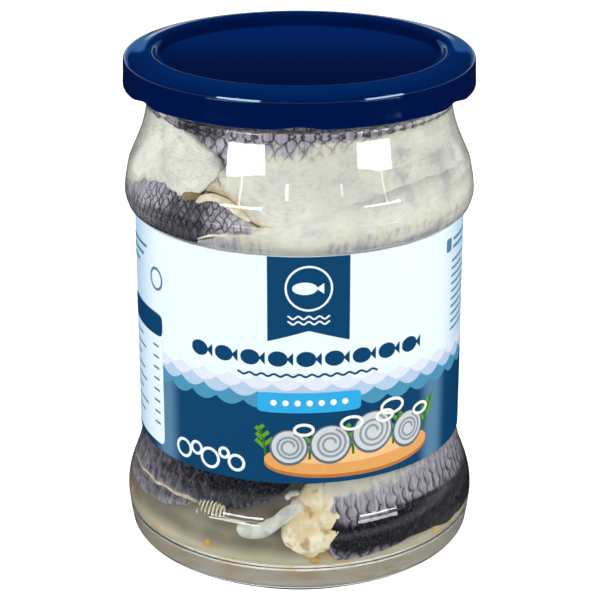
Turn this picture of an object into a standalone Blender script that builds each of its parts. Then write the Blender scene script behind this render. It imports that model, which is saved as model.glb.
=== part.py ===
"""A shut glass jar of pickled herring fillets, with a twist-off metal lid and a paper wrap label.

Metres, +Z up. The origin is at the middle of the base, on the surface that the jar stands on.
The jar's front faces -Y. An angle round the jar is counted from the front towards +X.
"""
import math

import bmesh
import bpy
import numpy as np

MM = 0.001

# The jar's outside: (radius, height, softness) in mm of each corner between two straight runs, from the foot up.
# There are two bulges that guard the label. A corner is rounded over its softness below and above its height.
WAIST_RADIUS = 39.4 * MM
OUTER_CORNERS = (
    (35.0, 0.0, 0.0),
    (42.6, 4.5, 1.2),
    (43.3, 9.0, 0.9),
    (43.7, 12.5, 0.9),
    (43.7, 17.0, 1.9),
    (40.4, 25.3, 1.4),
    (39.4, 31.2, 0.8),
    (39.4, 88.2, 0.2),
    (41.4, 89.2, 0.4),
    (42.35, 91.9, 1.2),
    (42.3, 96.3, 1.4),
    (37.5, 108.2, 1.6),
    (36.3, 114.5, 0.0),
)
FOOT_OUTER_RADIUS = 34.4 * MM
FOOT_INNER_RADIUS = 31.0 * MM
FOOT_EDGE = 0.4 * MM
BEAD_HEIGHT = 115.2 * MM
BEAD_RADIUS = 38.7 * MM
BEAD_HALF_HEIGHT = 1.3 * MM
FINISH_RADIUS = 38.05 * MM
MOUTH_HEIGHT = 125.3 * MM
MOUTH_RIM_RADIUS = 0.9 * MM

# The jar's inside: as the outside, with no shelf above the label
INNER_CORNERS = (
    (41.4, 13.0, 0.0),
    (41.4, 17.0, 1.9),
    (38.1, 25.3, 1.4),
    (37.1, 31.2, 0.8),
    (37.1, 87.0, 0.8),
    (40.05, 92.4, 1.4),
    (40.0, 96.3, 1.4),
    (35.2, 108.2, 1.6),
    (34.6, 111.4, 0.0),
)
MOUTH_INNER_RADIUS = 35.0 * MM
FLOOR_HEIGHT = 8.4 * MM
FLOOR_EDGE_HEIGHT = 7.2 * MM
FLOOR_RADIUS = 33.0 * MM
INNER_HEEL_HEIGHT = 13.0 * MM
THROAT_HEIGHT = 111.0 * MM
PUSH_UP = 2.6 * MM

# The label, a paper sleeve between the bulges
LABEL_BOTTOM = 31.3 * MM
LABEL_TOP = 88.0 * MM
LABEL_THICKNESS = 0.3 * MM
TOUCH_GAP = 0.3 * MM

# The lid
LID_RADIUS = 42.0 * MM
LID_BOTTOM = 118.0 * MM
LID_CREST_HEIGHT = 126.6 * MM
LID_CREST_RADIUS = 36.2 * MM
LID_SHOULDER_HEIGHT = 123.6 * MM
PANEL_RADIUS = 34.3 * MM
PANEL_DEPTH = 1.8 * MM
SHEET = 0.5 * MM
CURL_RADIUS = 0.75 * MM
LUGS = 6
LUG_WIDTH = 12.0 * MM
LUG_REACH = 1.4 * MM
LUG_LIFT = 0.5 * MM

# The fish and its onion
CORE_DEPTH = 5.5 * MM
CORE_TOP = 119.0 * MM
FILLET_GAP = 0.9 * MM
FILLET_THICKNESS = 7.0 * MM
SIDES = 56

# Each fillet lies along the glass between its two edges, each a few (angle in degrees, height in mm) points.
# The last value is how far it lies behind the foremost fillets.
FILLETS = {
    "white_flap": (
        ((-112, 106.0), (-88, 109.5), (-70, 112.2), (-52, 112.6), (-40, 110.6), (-30, 106.2)),
        ((-112, 95.5), (-88, 95.0), (-70, 97.4), (-40, 98.4), (-30, 100.6)),
        0.0 * MM,
    ),
    "big_side": (
        ((-64, 117.4), (128, 117.4)),
        ((-64, 100.0), (-28, 100.0), (-12, 95.0), (0, 94.2), (30, 98.6), (60, 100.0), (128, 101.0)),
        1.4 * MM,
    ),
    "back_side": (
        ((118, 117.6), (308, 117.6)),
        ((118, 99.6), (170, 97.0), (240, 99.4), (308, 98.0)),
        0.6 * MM,
    ),
    "dark_back": (
        ((-100, 93.6), (-81, 94.6), (-57, 97.8), (-30, 98.8), (-18, 97.0), (-8, 93.4)),
        ((-100, 84.0), (-8, 86.0)),
        1.2 * MM,
    ),
    "belly_low": (
        ((-46, 86.0), (-34, 90.6), (-11, 93.4), (10, 96.4), (30, 99.2), (60, 100.4), (106, 99.4)),
        ((-46, 81.0), (106, 83.0)),
        0.2 * MM,
    ),
    "back_middle": (
        ((96, 98.6), (150, 96.6), (220, 99.0), (284, 97.2)),
        ((96, 83.0), (284, 82.0)),
        1.0 * MM,
    ),
    "skin_left": (
        ((-104, 34.0), (-2, 34.0)),
        ((-104, 18.4), (-60, 20.3), (-22, 21.6), (-10, 24.6), (-2, 29.0)),
        0.2 * MM,
    ),
    "skin_left_low": (
        ((-128, 22.0), (-60, 21.6), (-36, 19.0)),
        ((-128, 12.6), (-60, 14.8), (-36, 16.8)),
        1.4 * MM,
    ),
    "skin_right": (
        ((3, 34.0), (104, 34.0)),
        ((3, 11.4), (32, 12.6), (60, 13.6), (76, 11.4), (104, 11.0)),
        0.6 * MM,
    ),
    "back_low": (
        ((98, 34.0), (262, 34.0)),
        ((98, 19.0), (180, 17.0), (262, 19.0)),
        0.4 * MM,
    ),
    "back_base": (
        ((90, 21.0), (180, 19.4), (240, 21.0)),
        ((90, 11.6), (240, 12.4)),
        1.4 * MM,
    ),
}
STATION_DEGREES = 11.0
SECTION_POINTS = 12
END_TAPER = 0.14
END_WIDTH = 0.35
CHUNK = {
    "angle": 4.5,
    "height": 21.5 * MM,
    "half_width": 7.2 * MM,
    "half_height": 8.4 * MM,
    "half_depth": 5.0 * MM,
}
ONION = {"start": -21.0, "end": 3.0, "low": 17.6, "high": 26.0, "width": 3.4 * MM, "depth": 2.4 * MM}
SEED_RADIUS = 1.1 * MM
SEED_SPOTS = ((-52, 11.2), (-41, 12.6), (-30, 10.8), (-14, 12.4), (24, 11.0), (33, 10.2), (58, 11.6))


def clear_scene():
    for obj in list(bpy.data.objects):
        bpy.data.objects.remove(obj, do_unlink=True)


def material(name, red, green, blue, roughness, metallic=0.0, alpha=1.0, transmission=0.0):
    """A Principled material with the piece's plain colour."""
    result = bpy.data.materials.new(name)
    result.use_nodes = True
    shader = result.node_tree.nodes["Principled BSDF"]
    shader.inputs["Base Color"].default_value = (red, green, blue, 1.0)
    shader.inputs["Roughness"].default_value = roughness
    shader.inputs["Metallic"].default_value = metallic
    shader.inputs["Alpha"].default_value = alpha
    shader.inputs["Transmission Weight"].default_value = transmission
    return result


def ease(t):
    """A smooth step from 0 to 1, level at both ends."""
    return t * t * (3.0 - 2.0 * t)


def cornered(corners, z):
    """The radius at height z on straight runs that meet in parabolic corners."""
    slopes = [(b[0] - a[0]) / (b[1] - a[1]) for a, b in zip(corners, corners[1:])]
    height = z / MM
    radius = corners[0][0] + slopes[0] * (height - corners[0][1])
    for (_, corner, softness), before, after in zip(corners[1:], slopes, slopes[1:]):
        beyond = height - corner
        if abs(beyond) < softness:
            beyond = (beyond + softness) ** 2 / (4.0 * softness)
        radius += (after - before) * max(0.0, beyond)
    return radius * MM


def corner_heights(corners, low, high):
    """Heights for a profile between low and high: three at a soft corner, one at a crisp one."""
    heights = []
    for _, corner, softness in corners:
        offsets = (-softness, 0.0, softness) if softness > 1.0 else (0.0,)
        heights += [(corner + offset) * MM for offset in offsets]
    return [z for z in heights if low <= z <= high]


def inner_radius(z):
    """The glass's inner radius at height z, with a rounded inside heel."""
    if z < INNER_HEEL_HEIGHT:
        fall = (INNER_HEEL_HEIGHT - z) / (INNER_HEEL_HEIGHT - FLOOR_EDGE_HEIGHT)
        wall = cornered(INNER_CORNERS, INNER_HEEL_HEIGHT)
        return FLOOR_RADIUS + (wall - FLOOR_RADIUS) * math.sqrt(max(0.0, 1.0 - fall * fall))
    wall = cornered(INNER_CORNERS, min(z, THROAT_HEIGHT))
    if z > THROAT_HEIGHT:
        rise = min(1.0, (z - THROAT_HEIGHT) / (BEAD_HEIGHT - THROAT_HEIGHT))
        return wall + (MOUTH_INNER_RADIUS - wall) * ease(rise)
    return wall


def steps(low, high, count):
    """Evenly spaced heights from low to high, both ends in."""
    return [low + (high - low) * i / count for i in range(count + 1)]


def turn(name, profile, closed):
    """Spin a profile of (radius, z) points round Z. An open profile starts and ends on the axis."""
    bm = bmesh.new()
    points = [bm.verts.new((radius, 0.0, z)) for radius, z in profile]
    pairs = list(zip(points, points[1:]))
    if closed:
        pairs.append((points[-1], points[0]))
    edges = [bm.edges.new(pair) for pair in pairs]
    bmesh.ops.spin(
        bm,
        geom=points + edges,
        cent=(0.0, 0.0, 0.0),
        axis=(0.0, 0.0, 1.0),
        angle=2.0 * math.pi,
        steps=SIDES,
        use_merge=True,
    )
    bmesh.ops.remove_doubles(bm, verts=bm.verts, dist=0.00001)
    bmesh.ops.recalc_face_normals(bm, faces=bm.faces)
    return link(name, bm)


def link(name, bm):
    """Put a bmesh into the scene as a smooth-shaded object."""
    mesh = bpy.data.meshes.new(name)
    bm.to_mesh(mesh)
    bm.free()
    mesh.shade_smooth()
    mesh.set_sharp_from_angle(angle=math.radians(40.0))
    obj = bpy.data.objects.new(name, mesh)
    bpy.context.scene.collection.objects.link(obj)
    return obj


def build_glass():
    """The jar's glass: up its outside from the foot, over the mouth and down its inside to the floor."""
    neck = BEAD_HEIGHT - 2.0 * BEAD_HALF_HEIGHT
    outside = [(cornered(OUTER_CORNERS, z), z) for z in [FOOT_EDGE] + corner_heights(OUTER_CORNERS, 1.0 * MM, neck)]
    outside += [
        (cornered(OUTER_CORNERS, neck), neck),
        (BEAD_RADIUS, BEAD_HEIGHT - BEAD_HALF_HEIGHT / 2.0),
        (BEAD_RADIUS, BEAD_HEIGHT + BEAD_HALF_HEIGHT / 2.0),
        (FINISH_RADIUS, BEAD_HEIGHT + 2.0 * BEAD_HALF_HEIGHT),
        (FINISH_RADIUS, MOUTH_HEIGHT - MOUTH_RIM_RADIUS),
        (FINISH_RADIUS - MOUTH_RIM_RADIUS, MOUTH_HEIGHT),
    ]
    inside = [
        (MOUTH_INNER_RADIUS + MOUTH_RIM_RADIUS, MOUTH_HEIGHT),
        (MOUTH_INNER_RADIUS, MOUTH_HEIGHT - MOUTH_RIM_RADIUS),
    ]
    inside += [(inner_radius(z), z) for z in steps(BEAD_HEIGHT, THROAT_HEIGHT, 1)]
    inside += [(inner_radius(z), z) for z in reversed(corner_heights(INNER_CORNERS, 14.0 * MM, 110.0 * MM))]
    inside += [(inner_radius(z), z) for z in steps(INNER_HEEL_HEIGHT, FLOOR_EDGE_HEIGHT, 3)]
    inside += [(0.0, FLOOR_HEIGHT)]
    underside = [
        (0.0, PUSH_UP),
        (FOOT_INNER_RADIUS * 0.75, PUSH_UP * 0.7),
        (FOOT_INNER_RADIUS, 0.0),
        (FOOT_OUTER_RADIUS, 0.0),
    ]
    glass = turn("glass_jar", underside + outside + inside, closed=False)
    glass.data.materials.append(material("clear_glass", 0.85, 0.93, 0.90, 0.05, alpha=0.35, transmission=1.0))
    return glass


def build_label():
    """The paper sleeve round the waist, clear of the glass by the touching gap."""
    inner = WAIST_RADIUS + TOUCH_GAP
    outer = inner + LABEL_THICKNESS
    profile = [(outer, LABEL_BOTTOM), (outer, LABEL_TOP), (inner, LABEL_TOP), (inner, LABEL_BOTTOM)]
    label = turn("label", profile, closed=True)
    label.data.materials.append(material("label_paper", 0.80, 0.88, 0.92, 0.55))
    return label


def press_lugs(lid, top):
    """Press the curl inwards and up at each lug, where it grips the jar's thread. One lug faces the front."""
    pitch = 2.0 * math.pi / LUGS
    for vert in lid.data.vertices:
        radius = math.hypot(vert.co.x, vert.co.y)
        if vert.co.z > top:
            continue
        from_front = math.atan2(vert.co.x, -vert.co.y)
        off_centre = abs((from_front + pitch / 2.0) % pitch - pitch / 2.0) * radius
        press = ease(max(0.0, 1.0 - off_centre / (LUG_WIDTH / 2.0)))
        depth = LUG_REACH if radius < LID_RADIUS - CURL_RADIUS else LUG_REACH / 2.0
        vert.co.x *= 1.0 - press * depth / radius
        vert.co.y *= 1.0 - press * depth / radius
        vert.co.z += press * LUG_LIFT


def build_lid():
    """The pressed lid: sunk panel, raised crest, rounded shoulder, skirt and curled edge."""
    panel = LID_CREST_HEIGHT - PANEL_DEPTH
    curl = LID_BOTTOM + CURL_RADIUS
    top = [
        (0.0, panel),
        (PANEL_RADIUS - 1.2 * MM, panel),
        (PANEL_RADIUS - 0.3 * MM, panel + 0.4 * MM),
        (PANEL_RADIUS + 0.3 * MM, LID_CREST_HEIGHT - 0.4 * MM),
        (LID_CREST_RADIUS, LID_CREST_HEIGHT),
        (LID_CREST_RADIUS + 2.4 * MM, LID_CREST_HEIGHT - 0.5 * MM),
        (LID_RADIUS - 1.3 * MM, LID_SHOULDER_HEIGHT + 1.5 * MM),
        (LID_RADIUS - 0.3 * MM, LID_SHOULDER_HEIGHT),
        (LID_RADIUS - 0.1 * MM, curl + 2.2 * MM),
    ]
    rim = [
        (LID_RADIUS, curl),
        (LID_RADIUS - CURL_RADIUS * 0.5, LID_BOTTOM),
        (LID_RADIUS - CURL_RADIUS * 1.5, LID_BOTTOM),
        (LID_RADIUS - CURL_RADIUS * 2.0, curl),
        (LID_RADIUS - SHEET - 0.2 * MM, curl + 2.2 * MM),
    ]
    under = [
        (LID_RADIUS - SHEET - 0.4 * MM, LID_SHOULDER_HEIGHT - 0.2 * MM),
        (LID_RADIUS - SHEET - 1.3 * MM, LID_SHOULDER_HEIGHT + 1.1 * MM),
        (LID_CREST_RADIUS + 2.2 * MM, LID_CREST_HEIGHT - 0.5 * MM - SHEET),
        (LID_CREST_RADIUS, LID_CREST_HEIGHT - SHEET),
        (PANEL_RADIUS + SHEET, LID_CREST_HEIGHT - 0.6 * MM - SHEET),
        (PANEL_RADIUS, panel - SHEET),
        (0.0, panel - SHEET),
    ]
    lid = turn("lid", top + rim + under, closed=False)
    press_lugs(lid, curl + CURL_RADIUS)
    lid.data.materials.append(material("lid_enamel", 0.0, 0.03, 0.14, 0.28, metallic=0.3))
    return lid


def on_wall(angle, z, depth):
    """The point at an angle in degrees and a height, the given depth inside the glass's inner wall."""
    radius = inner_radius(z) - depth
    turned = math.radians(angle)
    return (radius * math.sin(turned), -radius * math.cos(turned), z)


def closed_tube(name, rings):
    """A closed body through rings of points, the first and last filled with a fan."""
    bm = bmesh.new()
    loops = [[bm.verts.new(point) for point in ring] for ring in rings]
    for near, far in zip(loops, loops[1:]):
        for i in range(len(near)):
            j = (i + 1) % len(near)
            bm.faces.new((near[i], near[j], far[j], far[i]))
    bm.faces.new(loops[0])
    bm.faces.new(loops[-1])
    bmesh.ops.recalc_face_normals(bm, faces=bm.faces)
    bmesh.ops.triangulate(bm, faces=bm.faces)
    return link(name, bm)


def along(edge, angle):
    """The height in mm of a fillet's edge at an angle, straight between the edge's points."""
    angles, heights = zip(*edge)
    return float(np.interp(angle, angles, heights))


def fillet(name, top, bottom, behind):
    """A herring side lying along the glass: a flat oval section between two edges, tapered at both ends."""
    start, end = top[0][0], top[-1][0]
    count = math.ceil((end - start) / STATION_DEGREES)
    rings = []
    for i in range(count + 1):
        t = i / count
        angle = start + (end - start) * t
        high, low = along(top, angle), along(bottom, angle)
        taper = END_WIDTH + (1.0 - END_WIDTH) * min(1.0, min(t, 1.0 - t) / END_TAPER) ** 0.5
        ring = []
        for k in range(SECTION_POINTS):
            around = 2.0 * math.pi * k / SECTION_POINTS
            across = math.copysign(abs(math.cos(around)) ** 0.8, math.cos(around))
            z = ((high + low) / 2.0 + (high - low) / 2.0 * taper * across) * MM
            depth = FILLET_GAP + behind + FILLET_THICKNESS * (0.5 - 0.5 * math.sin(around))
            ring.append(on_wall(angle, z, depth))
        rings.append(ring)
    return closed_tube(name, rings)


def core():
    """The packed middle of the heap, a turned body the core depth inside the glass."""
    low = FLOOR_HEIGHT + TOUCH_GAP
    heights = steps(INNER_HEEL_HEIGHT - 2.0 * MM, LABEL_BOTTOM, 4)
    heights += steps(LABEL_TOP, THROAT_HEIGHT, 4)
    profile = [(0.0, low), (FLOOR_RADIUS - 2.0 * MM, low)]
    profile += [(inner_radius(z) - CORE_DEPTH, z) for z in heights]
    profile += [
        (MOUTH_INNER_RADIUS - CORE_DEPTH, CORE_TOP - 2.0 * MM),
        (MOUTH_INNER_RADIUS / 2.0, CORE_TOP),
        (0.0, CORE_TOP),
    ]
    return turn("heap_core", profile, closed=False)


def lump(name, angle, height, half_width, half_height, half_depth, depth, subdivisions):
    """A rounded lump bent to the glass: a sphere read as width along the wall, height and depth."""
    bm = bmesh.new()
    bmesh.ops.create_icosphere(bm, subdivisions=subdivisions, radius=1.0)
    for vert in bm.verts:
        turned = angle + math.degrees(vert.co.x * half_width / inner_radius(height))
        vert.co = on_wall(turned, height + vert.co.z * half_height, depth + half_depth * (1.0 - vert.co.y))
    return link(name, bm)


def onion_strip():
    """A curved slice of onion against the glass, low at its left and rising to the right."""
    rings = []
    count = 6
    for i in range(count + 1):
        t = i / count
        angle = ONION["start"] + (ONION["end"] - ONION["start"]) * t
        middle = (ONION["low"] + (ONION["high"] - ONION["low"]) * t ** 2.4) * MM
        ring = []
        for k in range(6):
            around = 2.0 * math.pi * k / 6
            z = middle + ONION["width"] / 2.0 * math.cos(around)
            ring.append(on_wall(angle, z, FILLET_GAP + ONION["depth"] * (1.0 - math.sin(around))))
        rings.append(ring)
    return closed_tube("onion", rings)


def keep_largest_shell(obj):
    """Drop loose scraps and sealed hollows: only the shell with the largest box stays."""
    bm = bmesh.new()
    bm.from_mesh(obj.data)
    bmesh.ops.remove_doubles(bm, verts=bm.verts, dist=0.000001)
    unseen = set(bm.verts)
    shells = []
    while unseen:
        shell = set()
        front = [unseen.pop()]
        while front:
            vert = front.pop()
            shell.add(vert)
            for edge in vert.link_edges:
                other = edge.other_vert(vert)
                if other in unseen:
                    unseen.discard(other)
                    front.append(other)
        shells.append(shell)
    largest = max(shells, key=lambda shell: np.prod(np.ptp(np.array([vert.co for vert in shell]), axis=0)))
    loose = [vert for shell in shells if shell is not largest for vert in shell]
    bmesh.ops.delete(bm, geom=loose, context="VERTS")
    bmesh.ops.triangulate(bm, faces=bm.faces)
    bm.to_mesh(obj.data)
    bm.free()


def build_heap():
    """The fish, the chunk, the onion and the seeds, fused into one body by one union."""
    heap = core()
    heap.name = "herring_heap"
    parts = [fillet(name, *values) for name, values in FILLETS.items()]
    parts.append(lump("chunk", depth=FILLET_GAP, subdivisions=2, **CHUNK))
    parts.append(onion_strip())
    for number, (angle, height) in enumerate(SEED_SPOTS):
        size = (SEED_RADIUS, SEED_RADIUS, SEED_RADIUS)
        parts.append(lump(f"seed_{number}", angle, height * MM, *size, CORE_DEPTH - SEED_RADIUS * 1.3, 1))

    fused = bpy.data.collections.new("fused_pieces")
    bpy.context.scene.collection.children.link(fused)
    for part in parts:
        bpy.context.scene.collection.objects.unlink(part)
        fused.objects.link(part)
    union = heap.modifiers.new("fuse", "BOOLEAN")
    union.operation = "UNION"
    union.operand_type = "COLLECTION"
    union.collection = fused
    union.solver = "EXACT"
    evaluated = heap.evaluated_get(bpy.context.evaluated_depsgraph_get())
    heap.data = bpy.data.meshes.new_from_object(evaluated)
    heap.modifiers.remove(union)
    for part in parts:
        bpy.data.objects.remove(part, do_unlink=True)
    bpy.data.collections.remove(fused)
    keep_largest_shell(heap)
    heap.data.materials.clear()
    heap.data.materials.append(material("herring", 0.42, 0.41, 0.46, 0.45))
    return heap


clear_scene()
build_glass()
build_label()
build_lid()
build_heap()
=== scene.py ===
# Looks of a shut glass jar of pickled herring: glass, marinade, fish, onion, enamelled lid and printed paper wrap.
# Sizes in the dictionaries are in millimetres and degrees; an angle is counted from the front towards +X.
import math

import bmesh
import bpy
import numpy as np
from mathutils import Euler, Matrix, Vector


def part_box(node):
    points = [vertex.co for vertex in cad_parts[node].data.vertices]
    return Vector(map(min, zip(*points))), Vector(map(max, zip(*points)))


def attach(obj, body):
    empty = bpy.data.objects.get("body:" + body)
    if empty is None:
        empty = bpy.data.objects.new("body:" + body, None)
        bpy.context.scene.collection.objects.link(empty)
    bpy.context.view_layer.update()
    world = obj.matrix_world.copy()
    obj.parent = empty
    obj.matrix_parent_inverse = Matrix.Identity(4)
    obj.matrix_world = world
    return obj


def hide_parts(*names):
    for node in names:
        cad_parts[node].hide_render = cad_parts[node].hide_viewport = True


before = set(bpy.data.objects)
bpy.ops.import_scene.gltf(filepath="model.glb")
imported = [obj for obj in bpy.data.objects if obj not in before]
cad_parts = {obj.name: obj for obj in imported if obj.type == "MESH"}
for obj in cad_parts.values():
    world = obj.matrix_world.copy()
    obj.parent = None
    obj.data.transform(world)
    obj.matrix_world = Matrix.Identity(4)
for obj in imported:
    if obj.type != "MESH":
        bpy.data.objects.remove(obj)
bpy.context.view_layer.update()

mm = 0.001
glassLow, glassHigh = [np.array(corner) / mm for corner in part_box("glass_jar")]
labelLow, labelHigh = [np.array(corner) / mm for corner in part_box("label")]
lidLow, lidHigh = [np.array(corner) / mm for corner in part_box("lid")]

jar = {
    "outerCorners": (  # radius, height and softness of each corner between two straight runs
        (35.0, 0.0, 0.0), (42.6, 4.5, 1.2), (43.3, 9.0, 0.9), (43.7, 12.5, 0.9), (43.7, 17.0, 3.6), (40.4, 25.3, 3.6),
        (39.4, 31.2, 0.8), (39.4, 88.2, 0.2), (41.4, 89.2, 0.4), (42.35, 91.9, 1.2), (42.1, 95.0, 0.3), (41.25, 99.6, 0.3),
        (37.5, 108.2, 3.4), (36.3, 114.5, 0.0)),
    "innerCorners": (
        (41.4, 13.0, 0.0), (41.4, 17.0, 1.9), (38.1, 25.3, 1.4), (37.1, 31.2, 0.8), (37.1, 87.0, 0.8), (40.05, 92.4, 1.4),
        (40.0, 96.3, 1.4), (35.2, 108.2, 1.6), (34.6, 111.4, 0.0)),
    "footOuter": 34.4,
    "footInner": 31.0,
    "footEdge": 0.4,
    "beadHeight": 115.2,
    "beadRise": 0.55,
    "beadHalf": 1.0,
    "finishRadius": 38.05,
    "mouthHeight": glassHigh[2],
    "mouthRim": 0.9,
    "mouthInner": 35.0,
    "innerHeel": 13.0,
    "throat": 111.0,
    "floorEdge": 7.2,
    "floorHeight": 8.4,
    "floorRadius": 33.0,
    "pushUp": 2.6,
    "seamHeights": (22.0,),  # where the mould's rings met
    "seamAngles": (-36.0, 144.0),  # where its halves met
    "seamRise": 0.07,
    "seamWidth": 0.28,
    "sides": 192,
}


# sRGB hex to linear: each channel over 255, then the sRGB curve undone
def toLinear(hexColour):
    channels = np.array([int(hexColour[i:i + 2], 16) for i in (1, 3, 5)]) / 255.0
    linear = np.where(channels <= 0.04045, channels / 12.92, ((channels + 0.055) / 1.055) ** 2.4)
    return (*linear.tolist(), 1.0)


# Adds a node: settings are the node's own properties, sockets maps an input to a value or to another node's output
def addNode(tree, kind, sockets=None, **settings):
    node = tree.nodes.new(kind)
    for name, value in settings.items():
        setattr(node, name, value)
    for key, value in (sockets or {}).items():
        if isinstance(value, bpy.types.NodeSocket):
            tree.links.new(value, node.inputs[key])
        else:
            node.inputs[key].default_value = value
    return node


def newMaterial(name):
    material = bpy.data.materials.new(name)
    material.use_nodes = True
    tree = material.node_tree
    return material, tree, tree.nodes["Principled BSDF"]


# A smooth step from 0 to 1 as t goes from 0 to 1
def easeStep(t):
    t = np.clip(t, 0.0, 1.0)
    return t * t * (3.0 - 2.0 * t)


# Radius on straight runs between corners: each corner adds its change of slope through a ramp with a parabolic foot
def cornered(corners, z):
    radii, heights, softness = np.array(corners).T
    slopes = np.diff(radii) / np.diff(heights)
    z = np.asarray(z, float)
    radius = radii[0] + slopes[0] * (z - heights[0])
    for height, soft, change in zip(heights[1:-1], softness[1:-1], np.diff(slopes)):
        beyond = z - height
        radius = radius + change * np.where(np.abs(beyond) < soft, (beyond + soft) ** 2 / (4.0 * soft), np.maximum(beyond, 0.0))
    return radius


# Inner glass radius: the corners, an elliptical inside heel below them and an eased throat above
def innerRadius(z):
    z = np.asarray(z, float)
    wall = cornered(jar["innerCorners"], np.clip(z, jar["innerHeel"], jar["throat"]))
    fall = np.clip((jar["innerHeel"] - z) / (jar["innerHeel"] - jar["floorEdge"]), 0.0, 1.0)
    heel = jar["floorRadius"] + (wall - jar["floorRadius"]) * np.sqrt(1.0 - fall * fall)
    throat = wall + (jar["mouthInner"] - wall) * easeStep((z - jar["throat"]) / (jar["beadHeight"] - jar["throat"]))
    return np.where(z < jar["innerHeel"], heel, throat)


# Heights for a profile: a few on each straight run and more round each corner
def cornerHeights(corners, low, high, extra=()):
    fine = [height + np.concatenate((soft * np.linspace(-1.0, 1.0, 9), (-soft - 0.15, soft + 0.15)))
            for _, height, soft in corners if soft > 0.0]
    heights = np.concatenate((*fine, *extra, np.linspace(low, high, 18), (high - 0.15,)))
    heights = np.unique(np.round(heights[(heights >= low) & (heights <= high)], 3))
    return heights[np.concatenate(([True], np.diff(heights) > 0.04))]


# Cylinder to space: x = r sin a, y = -r cos a
def roundAxis(angle, radius, z):
    turned = np.radians(angle)
    return np.stack(np.broadcast_arrays(radius * np.sin(turned), -radius * np.cos(turned), z), axis=-1)


# A point that lies depth inside the glass's inner wall
def onWall(angle, z, depth):
    return roundAxis(angle, innerRadius(z) - depth, z)


# Smooth irregular waves between about -1 and 1: a sum of sines in seeded directions, each octave half as long
def ripple(u, v, wave, seed, octaves=4):
    draw = np.random.default_rng(seed)
    total = np.zeros(np.broadcast(u, v).shape)
    for octave in range(octaves):
        for turn in draw.uniform(0.0, 2.0 * math.pi, 3):
            phase = draw.uniform(0.0, 2.0 * math.pi)
            scale = 2.0 * math.pi * 2.0 ** octave / wave
            total += np.sin((u * math.cos(turn) + v * math.sin(turn)) * scale + phase) * 0.5 ** octave
    return total / 3.5


# Quads of a grid of rows by columns, joined round where closed
def gridFaces(rows, columns, closeRows=False, closeColumns=False):
    i = np.arange(rows if closeRows else rows - 1)[:, None]
    j = np.arange(columns if closeColumns else columns - 1)[None, :]
    nextI = (i + 1) % rows
    nextJ = (j + 1) % columns
    corners = (i * columns + j, i * columns + nextJ, nextI * columns + nextJ, nextI * columns + j)
    return np.stack(np.broadcast_arrays(*corners), axis=-1).reshape(-1, 4)


# Mesh object from points in millimetres, doubles merged and faces turned outwards
def addMesh(name, points, faces, attributes=None, uv=None, smooth=True):
    mesh = bpy.data.meshes.new(name)
    mesh.from_pydata((points.reshape(-1, 3) * mm).tolist(), [], faces.tolist() if hasattr(faces, "tolist") else faces)
    for key, values in (attributes or {}).items():
        mesh.attributes.new(key, "FLOAT", "POINT").data.foreach_set("value", values.astype(np.float32).ravel())
    if uv is not None:
        loops = np.empty(len(mesh.loops), dtype=np.int32)
        mesh.loops.foreach_get("vertex_index", loops)
        layer = mesh.uv_layers.new(name="surface")
        layer.data.foreach_set("uv", uv.reshape(-1, 2)[loops].astype(np.float32).ravel())
    bm = bmesh.new()
    bm.from_mesh(mesh)
    bmesh.ops.remove_doubles(bm, verts=bm.verts, dist=1e-7)
    bmesh.ops.recalc_face_normals(bm, faces=bm.faces)
    bm.to_mesh(mesh)
    bm.free()
    if smooth:
        mesh.shade_smooth()
    piece = bpy.data.objects.new(name, mesh)
    bpy.context.scene.collection.objects.link(piece)
    return piece


# Turned body: the profile's (radius, height) points carried round the axis
def addTurned(name, profile, angle, closed=False, relief=None, attributes=None):
    profile = np.array(profile, float)
    radius = profile[:, 0][:, None] + 0.0 * angle[None, :]
    height = profile[:, 1][:, None] + 0.0 * angle[None, :]
    if relief is not None:
        radius, height = relief(angle[None, :], radius, height)
    points = roundAxis(angle[None, :], radius, height)
    faces = gridFaces(len(profile), len(angle), closeRows=closed, closeColumns=True)
    return addMesh(name, points, faces, attributes)


def fullTurn(sides):
    return np.linspace(0.0, 360.0, sides, endpoint=False)


# Quarter turn from one point to another, starting upright or level
def roundCorner(start, end, upright, count=6):
    t = np.linspace(0.0, math.pi / 2.0, count)
    a, b = (1.0 - np.cos(t), np.sin(t)) if upright else (np.sin(t), 1.0 - np.cos(t))
    return list(zip(start[0] + (end[0] - start[0]) * a, start[1] + (end[1] - start[1]) * b))


def dress(piece, material, slotName, *replaced):
    piece.data.materials.append(material)
    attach(piece, "root")
    if replaced:
        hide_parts(*replaced)
    return piece


# Camera: at the photograph's distance and height, looking down at the jar
camera = {"distance": 462.4, "height": 242.5, "pitch": 0.372, "pixelsFocal": 1996.7, "centreX": 299.4}


def placeCamera():
    data = bpy.data.cameras.new("camera")
    data.sensor_width = 36.0
    data.lens = camera["pixelsFocal"] * data.sensor_width / 600.0
    data.shift_x = (300.0 - camera["centreX"]) / 600.0
    viewer = bpy.data.objects.new("camera", data)
    viewer.location = (0.0, -camera["distance"] * mm, camera["height"] * mm)
    viewer.rotation_euler = (math.pi / 2.0 - camera["pitch"], 0.0, 0.0)
    bpy.context.scene.collection.objects.link(viewer)
    bpy.context.scene.camera = viewer


placeCamera()
print("camera placed")

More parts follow.
